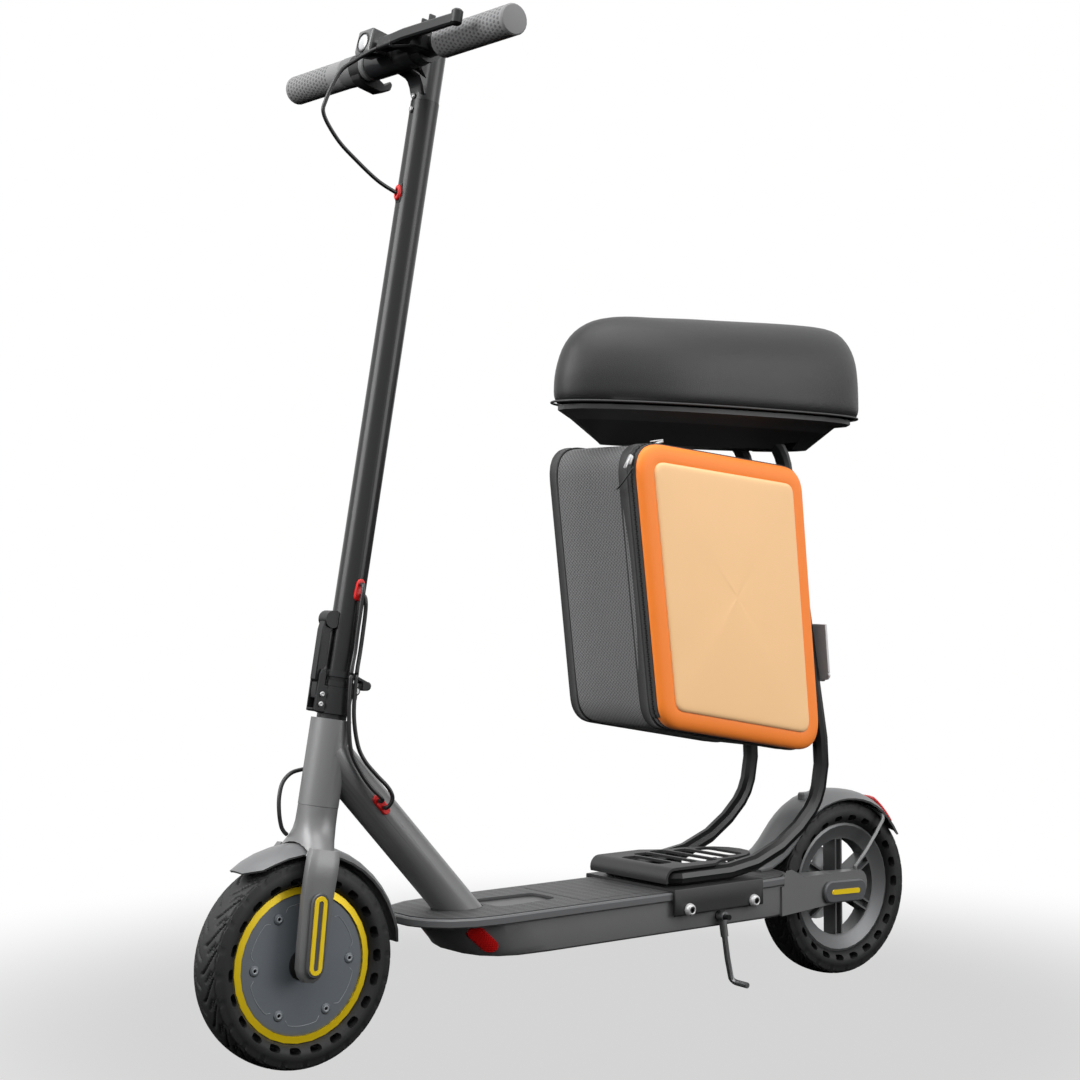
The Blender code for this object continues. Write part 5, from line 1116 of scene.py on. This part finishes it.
HUB_PLATE = (
    (0.0163, 0.0131), (0.0163, 0.0172), (0.0300, 0.0168), (0.0450, 0.0165), (0.0600, 0.0162), (0.0694, 0.0158),
    (0.0712, 0.0156), (0.0722, 0.0150), (0.0724, 0.0131), (0.0163, 0.0131),
)
HUB_BOSS = (
    (0.0, 0.0006), (0.0018, 0.0006), (0.0019, 0.0014), (0.0038, 0.0016), (0.0050, 0.0010), (0.0062, 0.0),
    (0.0, -0.0003),
)
HUB_RIM = ((0.0017, 0.0009), (0.0022, 0.0019), (0.0031, 0.0019), (0.0036, 0.0009))
HUB_SCREWS = 6
HUB_SCREWS_R, HUB_FACE_Y = 0.0560, 0.0161
HUB_LINE_R, HUB_LINE_STEP, HUB_LINE_Y = 0.0622, 0.0042, 0.0163


class SCOOTER_OT_hub_cover(bpy.types.Operator):
    """Make the hub's flat cover, its raised outline and its six screws"""

    bl_idname = "scooter.hub_cover"
    bl_label = "Hub cover"

    def execute(self, context):
        at = Matrix.Translation(FRONT_AXLE)
        cover = lathe("hub_cover_plate", HUB_PLATE, at, "Y", 128)
        use(cover, "hub_cover", "front_wheel", ("front_hub_cover",))
        cover.data.set_sharp_from_angle(angle=math.radians(40))
        bosses, rims, lines = [], [], []
        for i in range(HUB_SCREWS):
            angle = 2 * math.pi * i / HUB_SCREWS
            spot = (HUB_SCREWS_R * math.cos(angle), HUB_FACE_Y, HUB_SCREWS_R * math.sin(angle))
            screw_at = at @ Matrix.Translation(spot)
            bosses.append(lathe(f"boss_{i}", HUB_BOSS, screw_at, "Y", 24))
            rims.append(lathe(f"rim_{i}", HUB_RIM, screw_at, "Y", 24))
            lines.append(self.outline(f"line_{i}", angle, at))
        use(joined("hub_cover_bosses", bosses), "hub_cover", "front_wheel")
        use(joined("hub_cover_rims", rims), "hub_cover_edge", "front_wheel")
        use(joined("hub_cover_lines", lines), "hub_cover_edge", "front_wheel")
        return {"FINISHED"}

    def outline(self, name, angle, at):
        """The thin raised line between two screws, stepping in towards the middle at each end."""
        path = []
        first, last = angle + math.radians(10), angle + math.radians(50)
        for i in range(25):
            t = i / 24
            turn = first + (last - first) * t
            radius = HUB_LINE_R - HUB_LINE_STEP * max(0.0, 1 - t / 0.10, (t - 0.90) / 0.10)
            path.append((radius * math.cos(turn), HUB_LINE_Y, radius * math.sin(turn)))
        return tube(name, path, 0.00028, 6, at)


# The cables' routes, along, across and up the steering axis

BRAKE_ROUTE = (
    (0.0890, 0.0311, 0.9603), (0.0918, 0.0276, 0.9580), (0.0963, 0.0220, 0.9533), (0.1033, 0.0150, 0.9456),
    (0.1157, 0.0070, 0.9296), (0.1244, 0.0020, 0.8966), (0.1227, 0.0, 0.8804), (0.1011, 0.0, 0.8589),
    (0.0754, 0.0, 0.8441), (0.0457, 0.0, 0.8301), (0.0230, 0.0, 0.8240), (0.0172, 0.0, 0.8240),
)
INNER_ROUTE = (
    (-0.0005, 0.0178, 0.3945), (-0.0005, 0.0222, 0.3940), (0.0, 0.0246, 0.3885), (-0.0004, 0.0242, 0.3750),
    (-0.0018, 0.0228, 0.3420), (-0.0025, 0.0225, 0.3232), (-0.0012, 0.0235, 0.2989), (-0.0050, 0.0245, 0.2600),
    (-0.0137, 0.0255, 0.2220), (-0.0289, 0.0270, 0.2002), (-0.0436, 0.0290, 0.1859), (-0.0530, 0.0318, 0.1790),
    (-0.0580, 0.0316, 0.1748), (-0.0581, 0.0286, 0.1734), (-0.0581, 0.0241, 0.1734),
)
OUTER_ROUTE = (
    (-0.0030, 0.0178, 0.3835), (-0.0036, 0.0222, 0.3830), (-0.0050, 0.0246, 0.3775), (-0.0070, 0.0240, 0.3650),
    (-0.0082, 0.0232, 0.3400), (-0.0086, 0.0228, 0.3241), (-0.0078, 0.0240, 0.2997), (-0.0110, 0.0248, 0.2600),
    (-0.0198, 0.0262, 0.2300), (-0.0302, 0.0282, 0.2135), (-0.0462, 0.0310, 0.1998), (-0.0607, 0.0335, 0.1890),
    (-0.0680, 0.0340, 0.1800), (-0.0684, 0.0325, 0.1725), (-0.0661, 0.0288, 0.1672), (-0.0661, 0.0241, 0.1672),
)
MOTOR_ROUTE = (
    (0.0, -0.0219, 0.1970), (0.0, -0.0264, 0.1970), (0.0100, -0.0290, 0.1945), (0.0220, -0.0280, 0.1895),
    (0.0310, -0.0262, 0.1790), (0.0338, -0.0240, 0.1640), (0.0320, -0.0222, 0.1480), (0.0276, -0.0215, 0.1348),
    (0.0228, -0.0215, 0.1289), (0.0186, -0.0215, 0.1264),
)
LONG_CABLES = (("inner_cable", INNER_ROUTE, "cable_a"), ("outer_cable", OUTER_ROUTE, "cable_b"))
CABLE_STEP = 0.0018
HELD_POINT = 6


class SCOOTER_OT_cables(bpy.types.Operator):
    """Run the four cables. The two long ones are made in two halves, which meet at the fold"""

    bl_idname = "scooter.cables"
    bl_label = "Cables"

    def execute(self, context):
        self.cable("brake_cable_run", self.path(BRAKE_ROUTE), "stem", "brake_cable")
        for name, route, node in LONG_CABLES:
            path = self.path(route)
            knot = steer(*route[HELD_POINT])
            held = min(range(len(path)), key=lambda i: (path[i] - knot).length)
            upper = self.cable(name + "_upper", path[: held + 1], None, node)
            lower = self.cable(name + "_lower", path[held:], None, node)
            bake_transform(upper)
            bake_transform(lower)
        motor = self.cable("motor_cable_run", self.path(MOTOR_ROUTE), None, "motor_cable")
        steer(*MOTOR_ROUTE[1])
        steer(*MOTOR_ROUTE[6])
        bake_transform(motor)
        return {"FINISHED"}

    def path(self, route):
        return smooth_path([steer(*point) for point in route], CABLE_STEP)

    def cable(self, name, path, body, node):
        run = tube(name, path, CABLE_R)
        use(run, "cable_jacket", body, (node,))
        return run


# The lamp and the brake cable's grommet: (radius, along)

LENS_CENTRE = (0.0889, 0, 0.9731)
LAMP_RIM = (
    (0.0096, -0.0012), (0.0096, 0.0010), (0.0101, 0.0016), (0.0110, 0.0014), (0.0114, 0.0004),
    (0.0114, -0.0012), (0.0096, -0.0012),
)
LAMP_DOME = (
    (0.0, -0.0014), (0.0094, -0.0014), (0.0094, 0.0004), (0.0080, 0.0013), (0.0055, 0.0021), (0.0028, 0.0025),
    (0.0, 0.0026),
)
GROMMET = (
    (0.0023, -0.0020), (0.0023, 0.0018), (0.0030, 0.0026), (0.0042, 0.0022), (0.0048, 0.0008),
    (0.0048, -0.0020), (0.0023, -0.0020),
)
CLAMP_SCREWS_U = (0.935, 0.920)
PLATE_BOLTS_U = (0.2752, 0.2648)


class SCOOTER_OT_bars(bpy.types.Operator):
    """Add the lamp's lens and rim, the bolts of the clamps and the folding joint, and the cable's grommet"""

    bl_idname = "scooter.bars"
    bl_label = "Lamp and bolts"

    def execute(self, context):
        lens_at = STEER_FRAME @ Matrix.Translation(LENS_CENTRE)
        use(lathe("lamp_rim", LAMP_RIM, lens_at, "X", 48), "black_plastic", "stem")
        use(lathe("lamp_lens", LAMP_DOME, lens_at, "X", 48), "lamp_lens", "stem")
        ahead = steer(1, 0, 0) - steer(0, 0, 0)
        clamp = []
        for u in CLAMP_SCREWS_U:
            clamp.append(screw_head(f"clamp_screw_{u}", steer(0.0167, 0, u), ahead, 0.0030, 0.0020))
        use(joined("clamp_screws", clamp), "bright_steel", "stem")
        plates = []
        for side in (1, -1):
            for u in PLATE_BOLTS_U:
                spot = steer(0.0218, side * 0.0104, u)
                plates.append(screw_head(f"plate_bolt_{side}_{u}", spot, (0, side, 0), 0.0027, 0.0009))
        use(joined("plate_bolts", plates), "bright_steel", "steering")
        grommet_at = STEER_FRAME @ Matrix.Translation(BRAKE_ROUTE[-1]) @ Matrix.Diagonal((1.0, 1.0, 1.9, 1.0))
        grommet = lathe("brake_cable_grommet", GROMMET, grommet_at, "X", 40)
        use(grommet, "red_rubber", "stem")
        return {"FINISHED"}


class SCOOTER_OT_hardware(bpy.types.Operator):
    """Add the domed bolts of the seat saddle"""

    bl_idname = "scooter.hardware"
    bl_label = "Saddle bolts"

    def execute(self, context):
        bolts = []
        for side in (1, -1):
            for x in (0.2115, 0.3116):
                spot = rear(x, side * 0.0805, 0.0137)
                bolts.append(screw_head(f"saddle_bolt_{side}_{x}", spot, (0, side, 0), 0.0072, 0.0068))
        use(joined("saddle_bolts", bolts), "bright_steel", "frame")
        return {"FINISHED"}


# The seat's ends, half widths and seam, from the rear axle

SEAT_REAR, SEAT_NOSE = -0.006, 0.438
SEAT_HALF, SEAT_NOSE_HALF = 0.108, 0.079
SEAT_SEAM = 0.5905

# The seat's level outlines from the seam up: insets at the sides, rear and nose, height and slope

SEAT_ROWS = (
    (0.0060, 0.0060, 0.0060, -0.0018, SEAT_SLOPE),
    (0.0020, 0.0020, 0.0020, 0.0030, SEAT_SLOPE),
    (0.0, 0.0, 0.0, 0.0100, SEAT_SLOPE),
    (0.0, 0.0, 0.0, 0.0180, SEAT_SLOPE),
    (0.0004, 0.0, 0.0010, 0.0330, 0.018),
    (0.0020, 0.0, 0.0045, 0.0480, 0.012),
    (0.0060, 0.0005, 0.0110, 0.0660, 0.007),
    (0.0140, 0.0030, 0.0220, 0.0815, 0.004),
    (0.0240, 0.0075, 0.0350, 0.0925, 0.0),
    (0.0380, 0.0140, 0.0520, 0.1020, -0.006),
    (0.0520, 0.0280, 0.0720, 0.1068, -0.008),
    (0.0660, 0.0460, 0.0930, 0.1085, -0.008),
)
NOSE_LIFT = 0.0035
WELT_R, WELT_INSET, WELT_Z = 0.0014, 0.0016, 0.0002


def curved(value, power):
    return math.copysign(abs(value) ** (2 / power), value)


def seat_ring(inset, rear_inset, nose_inset, z, slope, count=176):
    """One level outline of the seat, broader at its rear."""
    rear_end, nose = SEAT_REAR + rear_inset, SEAT_NOSE - nose_inset
    middle, reach = (rear_end + nose) / 2, (nose - rear_end) / 2
    ring = []
    for cos, sin in circle(1.0, count):
        power = 2.2 if cos > 0 else 3.0
        along = curved(cos, power)
        half = SEAT_HALF + (SEAT_NOSE_HALF - SEAT_HALF) * (along + 1) / 2 - inset
        x = middle + reach * along
        ring.append(rear(x, half * curved(sin, power), SEAT_SEAM + z + slope * (x - SEAT_MID)))
    return ring


class SCOOTER_OT_seat(bpy.types.Operator):
    """Make the padded seat and the welt at its seam"""

    bl_idname = "scooter.seat"
    bl_label = "Seat"

    def execute(self, context):
        rings = [seat_ring(*row) for row in SEAT_ROWS]
        top = rings[-1]
        crown = sum(top, Vector()) / len(top) + Vector((0, 0, 0.0012))
        for share in (0.30, 0.62, 0.97):
            rings.append([point.lerp(crown, share) for point in top])
        cushion = skin("seat_padding", rings)
        lip = min(point.z for point in rings[1]) + 0.004
        swelled(cushion, lambda co: co.z < lip, settings().seat.swell, 3.0, smoothing=24)
        for vertex in cushion.data.vertices:
            ahead = max(0.0, (vertex.co.x - (REAR_X + 0.30)) / 0.10)
            above = max(0.0, (vertex.co.z - (TYRE_R + SEAT_SEAM + 0.05)) / 0.05)
            vertex.co.z += NOSE_LIFT * min(1.0, ahead * above)
        subdivided(cushion)
        use(cushion, "seat_vinyl", "frame", ("seat_cushion",))
        seam = seat_ring(WELT_INSET, WELT_INSET, WELT_INSET, WELT_Z, SEAT_SLOPE, 240)
        use(hoop("seat_welt", seam, circle(WELT_R, 8)), "seat_pan_plastic", "frame")
        return {"FINISHED"}


# The bag's corners in its side view, from the rear axle, and its places across the scooter

BAG_CORNERS = ((0.3905, 0.5490), (0.3525, 0.2230), (0.0985, 0.1770), (0.1285, 0.5210))
BAG_CORNER_R = 0.035
BAG_HALF = 0.085
BAG_SPLIT = 0.071
BAG_MIDDLE = rear(0.25, 0, 0.37)
BAG_COLUMNS = 260
BAG_GIRTH = 1.24
ZIP_END = 0.010
WALL_ROWS = 30
INWARD_SHARES = [i / 10 for i in range(9, 0, -1)] + [0.02]

# The back's rounded edge, and the lid's border and panel: (inset, across)

BACK_ROWS = ((0.0012, -0.0810), (0.0040, -0.0840), (0.0085, -0.0850))
BORDER_ROWS = (
    (0.0, 0.0714), (0.0, 0.0750), (0.0, 0.0785), (0.0012, 0.0812), (0.0040, 0.0836), (0.0085, 0.0850),
    (0.0135, 0.0856), (0.0185, 0.0856), (0.0222, 0.0850),
)
PANEL_ROWS = ((0.0205, 0.0846), (0.0212, 0.0862), (0.0232, 0.0872), (0.0270, 0.0875))
PANEL_CROWN = 0.0012

# Half the sections of the bindings and the zip's tapes: (out, share of the half width)

BINDING_EDGE = ((-0.0004, 1.0), (0.0012, 1.0), (0.0020, 0.86), (0.0011, 0.70))
TAPE_EDGE = ((-0.0003, 1.0), (0.0010, 1.0))

ZIP_TEETH = 420
TOOTH_SIZE, TOOTH_WIDTH, TOOTH_OUT = 0.0018, 0.0024, 0.0009

# The zip's sliders, from the rear axle, and how far each is turned

ZIP_SLIDERS = ((0.3465, 0.5455, 0.25), (0.3880, 0.5250, 1.15))


def bag_outline(inset, count):
    """The bag's side view, drawn in by this much: (x, z) from the rear axle."""
    corners = [Vector(corner) for corner in BAG_CORNERS]
    middle = sum(corners, Vector((0, 0))) / 4
    moved = []
    for i, at in enumerate(corners):
        sides = []
        for edge in ((at - corners[i - 1]).normalized(), (corners[(i + 1) % 4] - at).normalized()):
            inward = Vector((-edge.y, edge.x))
            sides.append(inward if inward.dot(middle - at) > 0 else -inward)
        moved.append(at + (sides[0] + sides[1]) * inset / (1 + sides[0].dot(sides[1])))
    return evenly(rounded(moved, max(BAG_CORNER_R - inset, 0.003)), count)


def bag_ring(inset, y, scale=1.0):
    """The outline at this place across the bag, and drawn in to its middle by this scale."""
    outline = bag_outline(inset, BAG_COLUMNS)
    middle = sum(outline, Vector((0, 0))) / len(outline)
    points = [middle + (point - middle) * scale for point in outline]
    return [rear(point.x, y, point.y) for point in points]


def above_hinge(point):
    """How far a point of the bag's side view is above its bottom edge, which has the hinge and no zip."""
    (x1, z1), (x2, z2) = BAG_CORNERS[1], BAG_CORNERS[2]
    return point.y - (z1 + (point.x - x1) * (z2 - z1) / (x2 - x1))


def outwards(outline, i):
    """The outward direction at a point of a closed outline in the bag's side view."""
    along = (outline[(i + 1) % len(outline)] - outline[i - 1]).normalized()
    away = Vector((along.y, -along.x))
    middle = sum(outline, Vector((0, 0))) / len(outline)
    return away if away.dot(outline[i] - middle) > 0 else -away


def strip_places(obj):
    """Gives a piece made of rings its places along the bag's edge and across it, for the cloth's weave."""
    layer = obj.data.uv_layers.new(name="strip")
    for face in obj.data.polygons:
        marks = [(obj.data.loops[i].vertex_index, i) for i in face.loop_indices]
        turns = [vertex % BAG_COLUMNS for vertex, loop in marks]
        over = max(turns) - min(turns) > BAG_COLUMNS / 2
        for (vertex, loop), turn in zip(marks, turns):
            turn += BAG_COLUMNS if over and turn < BAG_COLUMNS / 2 else 0
            layer.data[loop].uv = (BAG_GIRTH * turn / BAG_COLUMNS, obj.data.vertices[vertex].co.y)


class SCOOTER_OT_bag(bpy.types.Operator):
    """Make the bag: its mesh walls, bound edges, zip, and orange lid"""

    bl_idname = "scooter.bag"
    bl_label = "Bag"

    def execute(self, context):
        self.walls()
        for name, y, half in (("binding_back", -0.0745, 0.0075), ("binding_front", 0.0560, 0.0085)):
            self.band(name, y, BINDING_EDGE, half, "frame")
        self.band("zip_tape_shell", 0.0665, TAPE_EDGE, 0.0036, "frame", hinged=True)
        self.band("zip_tape_lid", 0.0745, TAPE_EDGE, 0.0030, "bag_lid", hinged=True)
        self.border()
        self.panel()
        self.teeth("zip_teeth_shell", "frame", 0, 0.0703)
        self.teeth("zip_teeth_lid", "bag_lid", 1, 0.0718)
        self.pulls()
        return {"FINISHED"}

    def walls(self):
        """The bag's shell, open towards the lid."""
        depth = BAG_SPLIT + BAG_HALF - 0.0073
        rings = [bag_ring(0.0, BAG_SPLIT - 0.0003 - i * depth / (WALL_ROWS - 1)) for i in range(WALL_ROWS)]
        rings += [bag_ring(*row) for row in BACK_ROWS]
        rings += [bag_ring(*BACK_ROWS[-1], share) for share in INWARD_SHARES]
        shell = capped(skin("bag_walls", rings, ends=False), BAG_COLUMNS)
        face_away(shell, BAG_MIDDLE)
        strip_places(shell)
        edge = BAG_SPLIT - 0.0060
        swelled(shell, lambda co: co.y > edge, 0.0030, 1.2, smoothing=30)
        subdivided(walled(shell, 0.003))
        use(shell, "bag_air_mesh", "frame", ("bag_shell",))

    def band(self, name, y, edge, half, body, hinged=False):
        """A strip round the bag's edge. A hinged one leaves out the bottom edge."""
        section = [(out, -half * share) for out, share in edge]
        section += [(out, half * share) for out, share in reversed(edge)]
        outline = bag_outline(0.0, BAG_COLUMNS)
        kept = [i for i in range(BAG_COLUMNS) if not hinged or above_hinge(outline[i]) > ZIP_END]
        if hinged:
            first = next(k for k in range(len(kept)) if kept[k] - kept[k - 1] not in (1, 1 - BAG_COLUMNS))
            kept = kept[first:] + kept[:first]
        rings = []
        for i in kept:
            away = outwards(outline, i)
            spots = [(outline[i] + away * out, across) for out, across in section]
            rings.append([rear(spot.x, y + across, spot.y) for spot, across in spots])
        strip = skin(name, rings if hinged else rings + rings[:1], ends=hinged)
        layer = strip.data.uv_layers.new(name="strip")
        for face in strip.data.polygons:
            for i in face.loop_indices:
                vertex = strip.data.loops[i].vertex_index
                along = BAG_GIRTH * (vertex // len(section)) / BAG_COLUMNS
                layer.data[i].uv = (along, strip.data.vertices[vertex].co.y)
        if not hinged:
            welded(strip)
        use(strip, "binding_tape", body)
        strip.data.set_sharp_from_angle(angle=math.radians(40))

    def border(self):
        """The lid's padded orange rim."""
        border = skin("lid_border", [bag_ring(*row) for row in BORDER_ROWS], ends=False)
        face_away(border, BAG_MIDDLE)
        swelled(border, lambda co: co.y < 0.0755 or co.y > 0.0855, 0.0015, 1.5)
        subdivided(walled(border, 0.0028))
        use(border, "lid_border_cloth", "bag_lid", ("bag_lid",))

    def panel(self):
        """The lid's paler field, which rises a little to its middle."""
        inset, y = PANEL_ROWS[-1]
        rings = [bag_ring(*row) for row in PANEL_ROWS]
        rings += [bag_ring(inset, y + PANEL_CROWN * (1 - share), share) for share in INWARD_SHARES]
        panel = capped(skin("lid_panel", rings, ends=False), BAG_COLUMNS)
        face_away(panel, BAG_MIDDLE)
        swelled(panel, lambda co: co.y < 0.0870, 0.0012, 0.8, smoothing=60)
        subdivided(walled(panel, 0.0026))
        use(panel, "lid_panel_cloth", "bag_lid", ("bag_lid",))

    def teeth(self, name, body, first, y):
        """Every second tooth of the zip, on one side."""
        outline = bag_outline(0.0, ZIP_TEETH)
        bm = bmesh.new()
        for i in range(first, ZIP_TEETH, 2):
            if above_hinge(outline[i]) < ZIP_END:
                continue
            along = (outline[(i + 1) % ZIP_TEETH] - outline[i - 1]).normalized() * TOOTH_SIZE
            out = outwards(outline, i)
            at = rear(outline[i].x + out.x * TOOTH_OUT, y, outline[i].y + out.y * TOOTH_OUT)
            out = out * TOOTH_SIZE
            rows = (along.x, 0, out.x, at.x), (0, TOOTH_WIDTH, 0, at.y), (along.y, 0, out.y, at.z)
            bmesh.ops.create_cube(bm, size=1.0, matrix=Matrix((*rows, (0, 0, 0, 1))))
        use(new_object(name, bm), "black_plastic", body, smooth=False)

    def pulls(self):
        """The two sliders near the lid's front upper corner, and the cord on one."""
        sliders = [self.slider(f"zip_slider_{i}", *spot) for i, spot in enumerate(ZIP_SLIDERS)]
        use(joined("zip_sliders", sliders), "bright_steel", "bag_lid")
        near, far = rear(0.3895, 0.0775, 0.5180), rear(0.3905, 0.0480, 0.4940)
        upper = near.lerp(far, 0.3) + Vector((0.004, 0, -0.006))
        lower = near.lerp(far, 0.7) + Vector((0.005, 0, -0.007))
        cord = tube("zip_cord", smooth_path([near, upper, lower, far], 0.002), 0.0009, 8)
        use(cord, "cable_jacket", "bag_lid")

    def slider(self, name, x, z, turn):
        """A zip's slider with its pull tab, on the bag's edge."""
        at = Matrix.Translation(rear(x, 0.0722, z)) @ Matrix.Rotation(turn, 4, "Y")
        tilted = at @ Matrix.Rotation(-0.10, 4, "Y")
        body = pill((-0.0035, 0), (0.0035, 0), 0.0030, 6)
        tab = pill((-0.004, 0), (0.010, 0), 0.0024, 6)
        pieces = [
            skin(name, [[(x, y, z) for x, y in body] for z in (0.0008, 0.0034)], at),
            skin(name + "_tab", [[(x, y, z) for x, y in tab] for z in (0.0038, 0.0050)], tilted),
        ]
        return joined(name, pieces)


# The camera that was fitted to the photograph. Its lens and centre are in the photograph's pixels

PHOTO_SIZE = 1080
FOCAL_LENGTH = 2107.78
PHOTO_CENTRE = (582.97, 426.16)
CAMERA_PLACE = (1.91732 + REAR_X, 1.91676, 0.53722)
CAMERA_FORWARD = Vector((-0.61946549, -0.78298596, 0.05652864))
CAMERA_ROLL = -0.00219
SENSOR = 36.0

# Each lamp: its place and its size. They all point at the middle of the scooter

LAMPS = {"key": ((2.3, -0.5, 1.9), 1.6), "fill": ((-1.5, 2.4, 1.3), 1.5), "top": ((0.2, 0.6, 3.0), 2.2)}
LAMP_AIM = Vector((0.0, 0.0, 0.45))
FLOOR_RADII = (0.25, 1.0, 2.0, 4.0, 9.0, 40.0)
FLOOR_SIDES = 48
FLOOR_Z = -0.0004


class SCOOTER_OT_stage(bpy.types.Operator):
    """Lay the floor, set the lamps and place the camera"""

    bl_idname = "scooter.stage"
    bl_label = "Stage"

    def execute(self, context):
        scene = context.scene
        scene.view_settings.view_transform = "Standard"
        for obj in [o for o in scene.objects if o.type in ("LIGHT", "CAMERA")]:
            bpy.data.objects.remove(obj)
        self.floor()
        self.sky(scene)
        for name, (place, width) in LAMPS.items():
            lamp = bpy.data.lights.new(name, "AREA")
            lamp.shape, lamp.size, lamp.size_y = "RECTANGLE", width, width * 1.3
            lamp.energy = getattr(settings().studio, name + "_power")
            obj = bpy.data.objects.new(name, lamp)
            obj.location = place
            obj.rotation_euler = (LAMP_AIM - Vector(place)).to_track_quat("-Z", "Y").to_euler()
            scene.collection.objects.link(obj)
        self.camera(scene)
        return {"FINISHED"}

    def floor(self):
        """A wide pale disc that keeps the scooter's shadow and is white to the camera further out."""
        rings = [[(x, y, FLOOR_Z) for x, y in circle(radius, FLOOR_SIDES)] for radius in FLOOR_RADII]
        floor = skin("floor", rings, ends=False)
        with editing(floor) as bm:
            bmesh.ops.holes_fill(bm, edges=bm.edges, sides=FLOOR_SIDES)
        face_away(floor, Vector((0, 0, -1)))
        pale = bpy.data.materials.new("pale_floor")
        pale.use_nodes = True
        net = Net(pale.node_tree)
        shader = pale.node_tree.nodes["Principled BSDF"]
        shader.inputs["Base Color"].default_value = colour_of("studio.floor_colour")
        shader.inputs["Roughness"].default_value = 0.9
        shader.inputs["Specular IOR Level"].default_value = 0.1
        glow = net.add("ShaderNodeEmission", Color=(1, 1, 1, 1), Strength=1.0)
        place = net.value("ShaderNodeTexCoord", out="Object")
        length = net.value("ShaderNodeVectorMath", place, operation="LENGTH", out="Value")
        far = net.ramp(length, 0.45, 1.15, 0.66, 1.0)
        seen = net.value("ShaderNodeLightPath", out="Is Camera Ray")
        blend = net.value("ShaderNodeMixShader", far * seen, shader.outputs[0], glow.outputs[0])
        net.put(pale.node_tree.nodes["Material Output"].inputs["Surface"], blend)
        floor.data.materials.append(pale)

    def sky(self, scene):
        """Even light from all round, on a white background."""
        scene.world = scene.world or bpy.data.worlds.new("studio")
        scene.world.use_nodes = True
        nodes = scene.world.node_tree.nodes
        net = Net(scene.world.node_tree)
        light = nodes["Background"]
        light.inputs["Color"].default_value = (1, 1, 1, 1)
        light.inputs["Strength"].default_value = settings().studio.sky_strength
        white = net.add("ShaderNodeBackground", Color=(1, 1, 1, 1), Strength=1.0)
        path = net.add("ShaderNodeLightPath").outputs
        seen = net.maths("MAXIMUM", path["Is Camera Ray"], path["Is Transmission Ray"])
        seen = net.maths("MAXIMUM", seen, path["Is Glossy Ray"])
        blend = net.value("ShaderNodeMixShader", seen, light.outputs[0], white.outputs[0])
        net.put(nodes["World Output"].inputs["Surface"], blend)

    def camera(self, scene):
        lens = bpy.data.cameras.new("photo_view")
        right = CAMERA_FORWARD.cross(Vector((0, 0, 1))).normalized()
        up = right.cross(CAMERA_FORWARD)
        turn = Matrix((right, up, -CAMERA_FORWARD)).transposed().to_4x4()
        camera = bpy.data.objects.new("photo_view", lens)
        camera.matrix_world = Matrix.Translation(CAMERA_PLACE) @ turn @ Matrix.Rotation(CAMERA_ROLL, 4, "Z")
        lens.sensor_width = lens.sensor_height = SENSOR
        lens.sensor_fit = "HORIZONTAL"
        lens.lens = FOCAL_LENGTH * SENSOR / PHOTO_SIZE
        lens.shift_x = (PHOTO_SIZE / 2 - PHOTO_CENTRE[0]) / PHOTO_SIZE
        lens.shift_y = (PHOTO_CENTRE[1] - PHOTO_SIZE / 2) / PHOTO_SIZE
        lens.clip_end = 60
        scene.collection.objects.link(camera)
        scene.camera = camera


STEPS = (
    SCOOTER_OT_rigid_finishes,
    SCOOTER_OT_tyres,
    SCOOTER_OT_hub_cover,
    SCOOTER_OT_bars,
    SCOOTER_OT_cables,
    SCOOTER_OT_hardware,
    SCOOTER_OT_seat,
    SCOOTER_OT_bag,
    SCOOTER_OT_stage,
)


class SCOOTER_PT_panel(bpy.types.Panel):
    """The scooter's pieces and settings, in the sidebar."""

    bl_idname = "SCOOTER_PT_panel"
    bl_label = "Scooter"
    bl_space_type = "VIEW_3D"
    bl_region_type = "UI"
    bl_category = "Scooter"

    def draw(self, context):
        for step in STEPS:
            self.layout.operator(step.bl_idname)
        for name in ScooterSettings.__annotations__:
            box = self.layout.box()
            box.label(text=name.capitalize())
            part = getattr(settings(), name)
            for key in part.__annotations__:
                box.prop(part, key)


SETTINGS = (StudioSettings, FrameSettings, TyreSettings, SeatSettings, BagSettings, ScooterSettings)
CLASSES = (*SETTINGS, *STEPS, SCOOTER_PT_panel)


def register():
    for cls in CLASSES:
        bpy.utils.register_class(cls)
    bpy.types.Scene.scooter_settings = PointerProperty(type=ScooterSettings)


def unregister():
    del bpy.types.Scene.scooter_settings
    for cls in reversed(CLASSES):
        bpy.utils.unregister_class(cls)


def main():
    register()
    for step in STEPS:
        module, name = step.bl_idname.split(".")
        getattr(getattr(bpy.ops, module), name)()


if __name__ == "__main__":
    main()
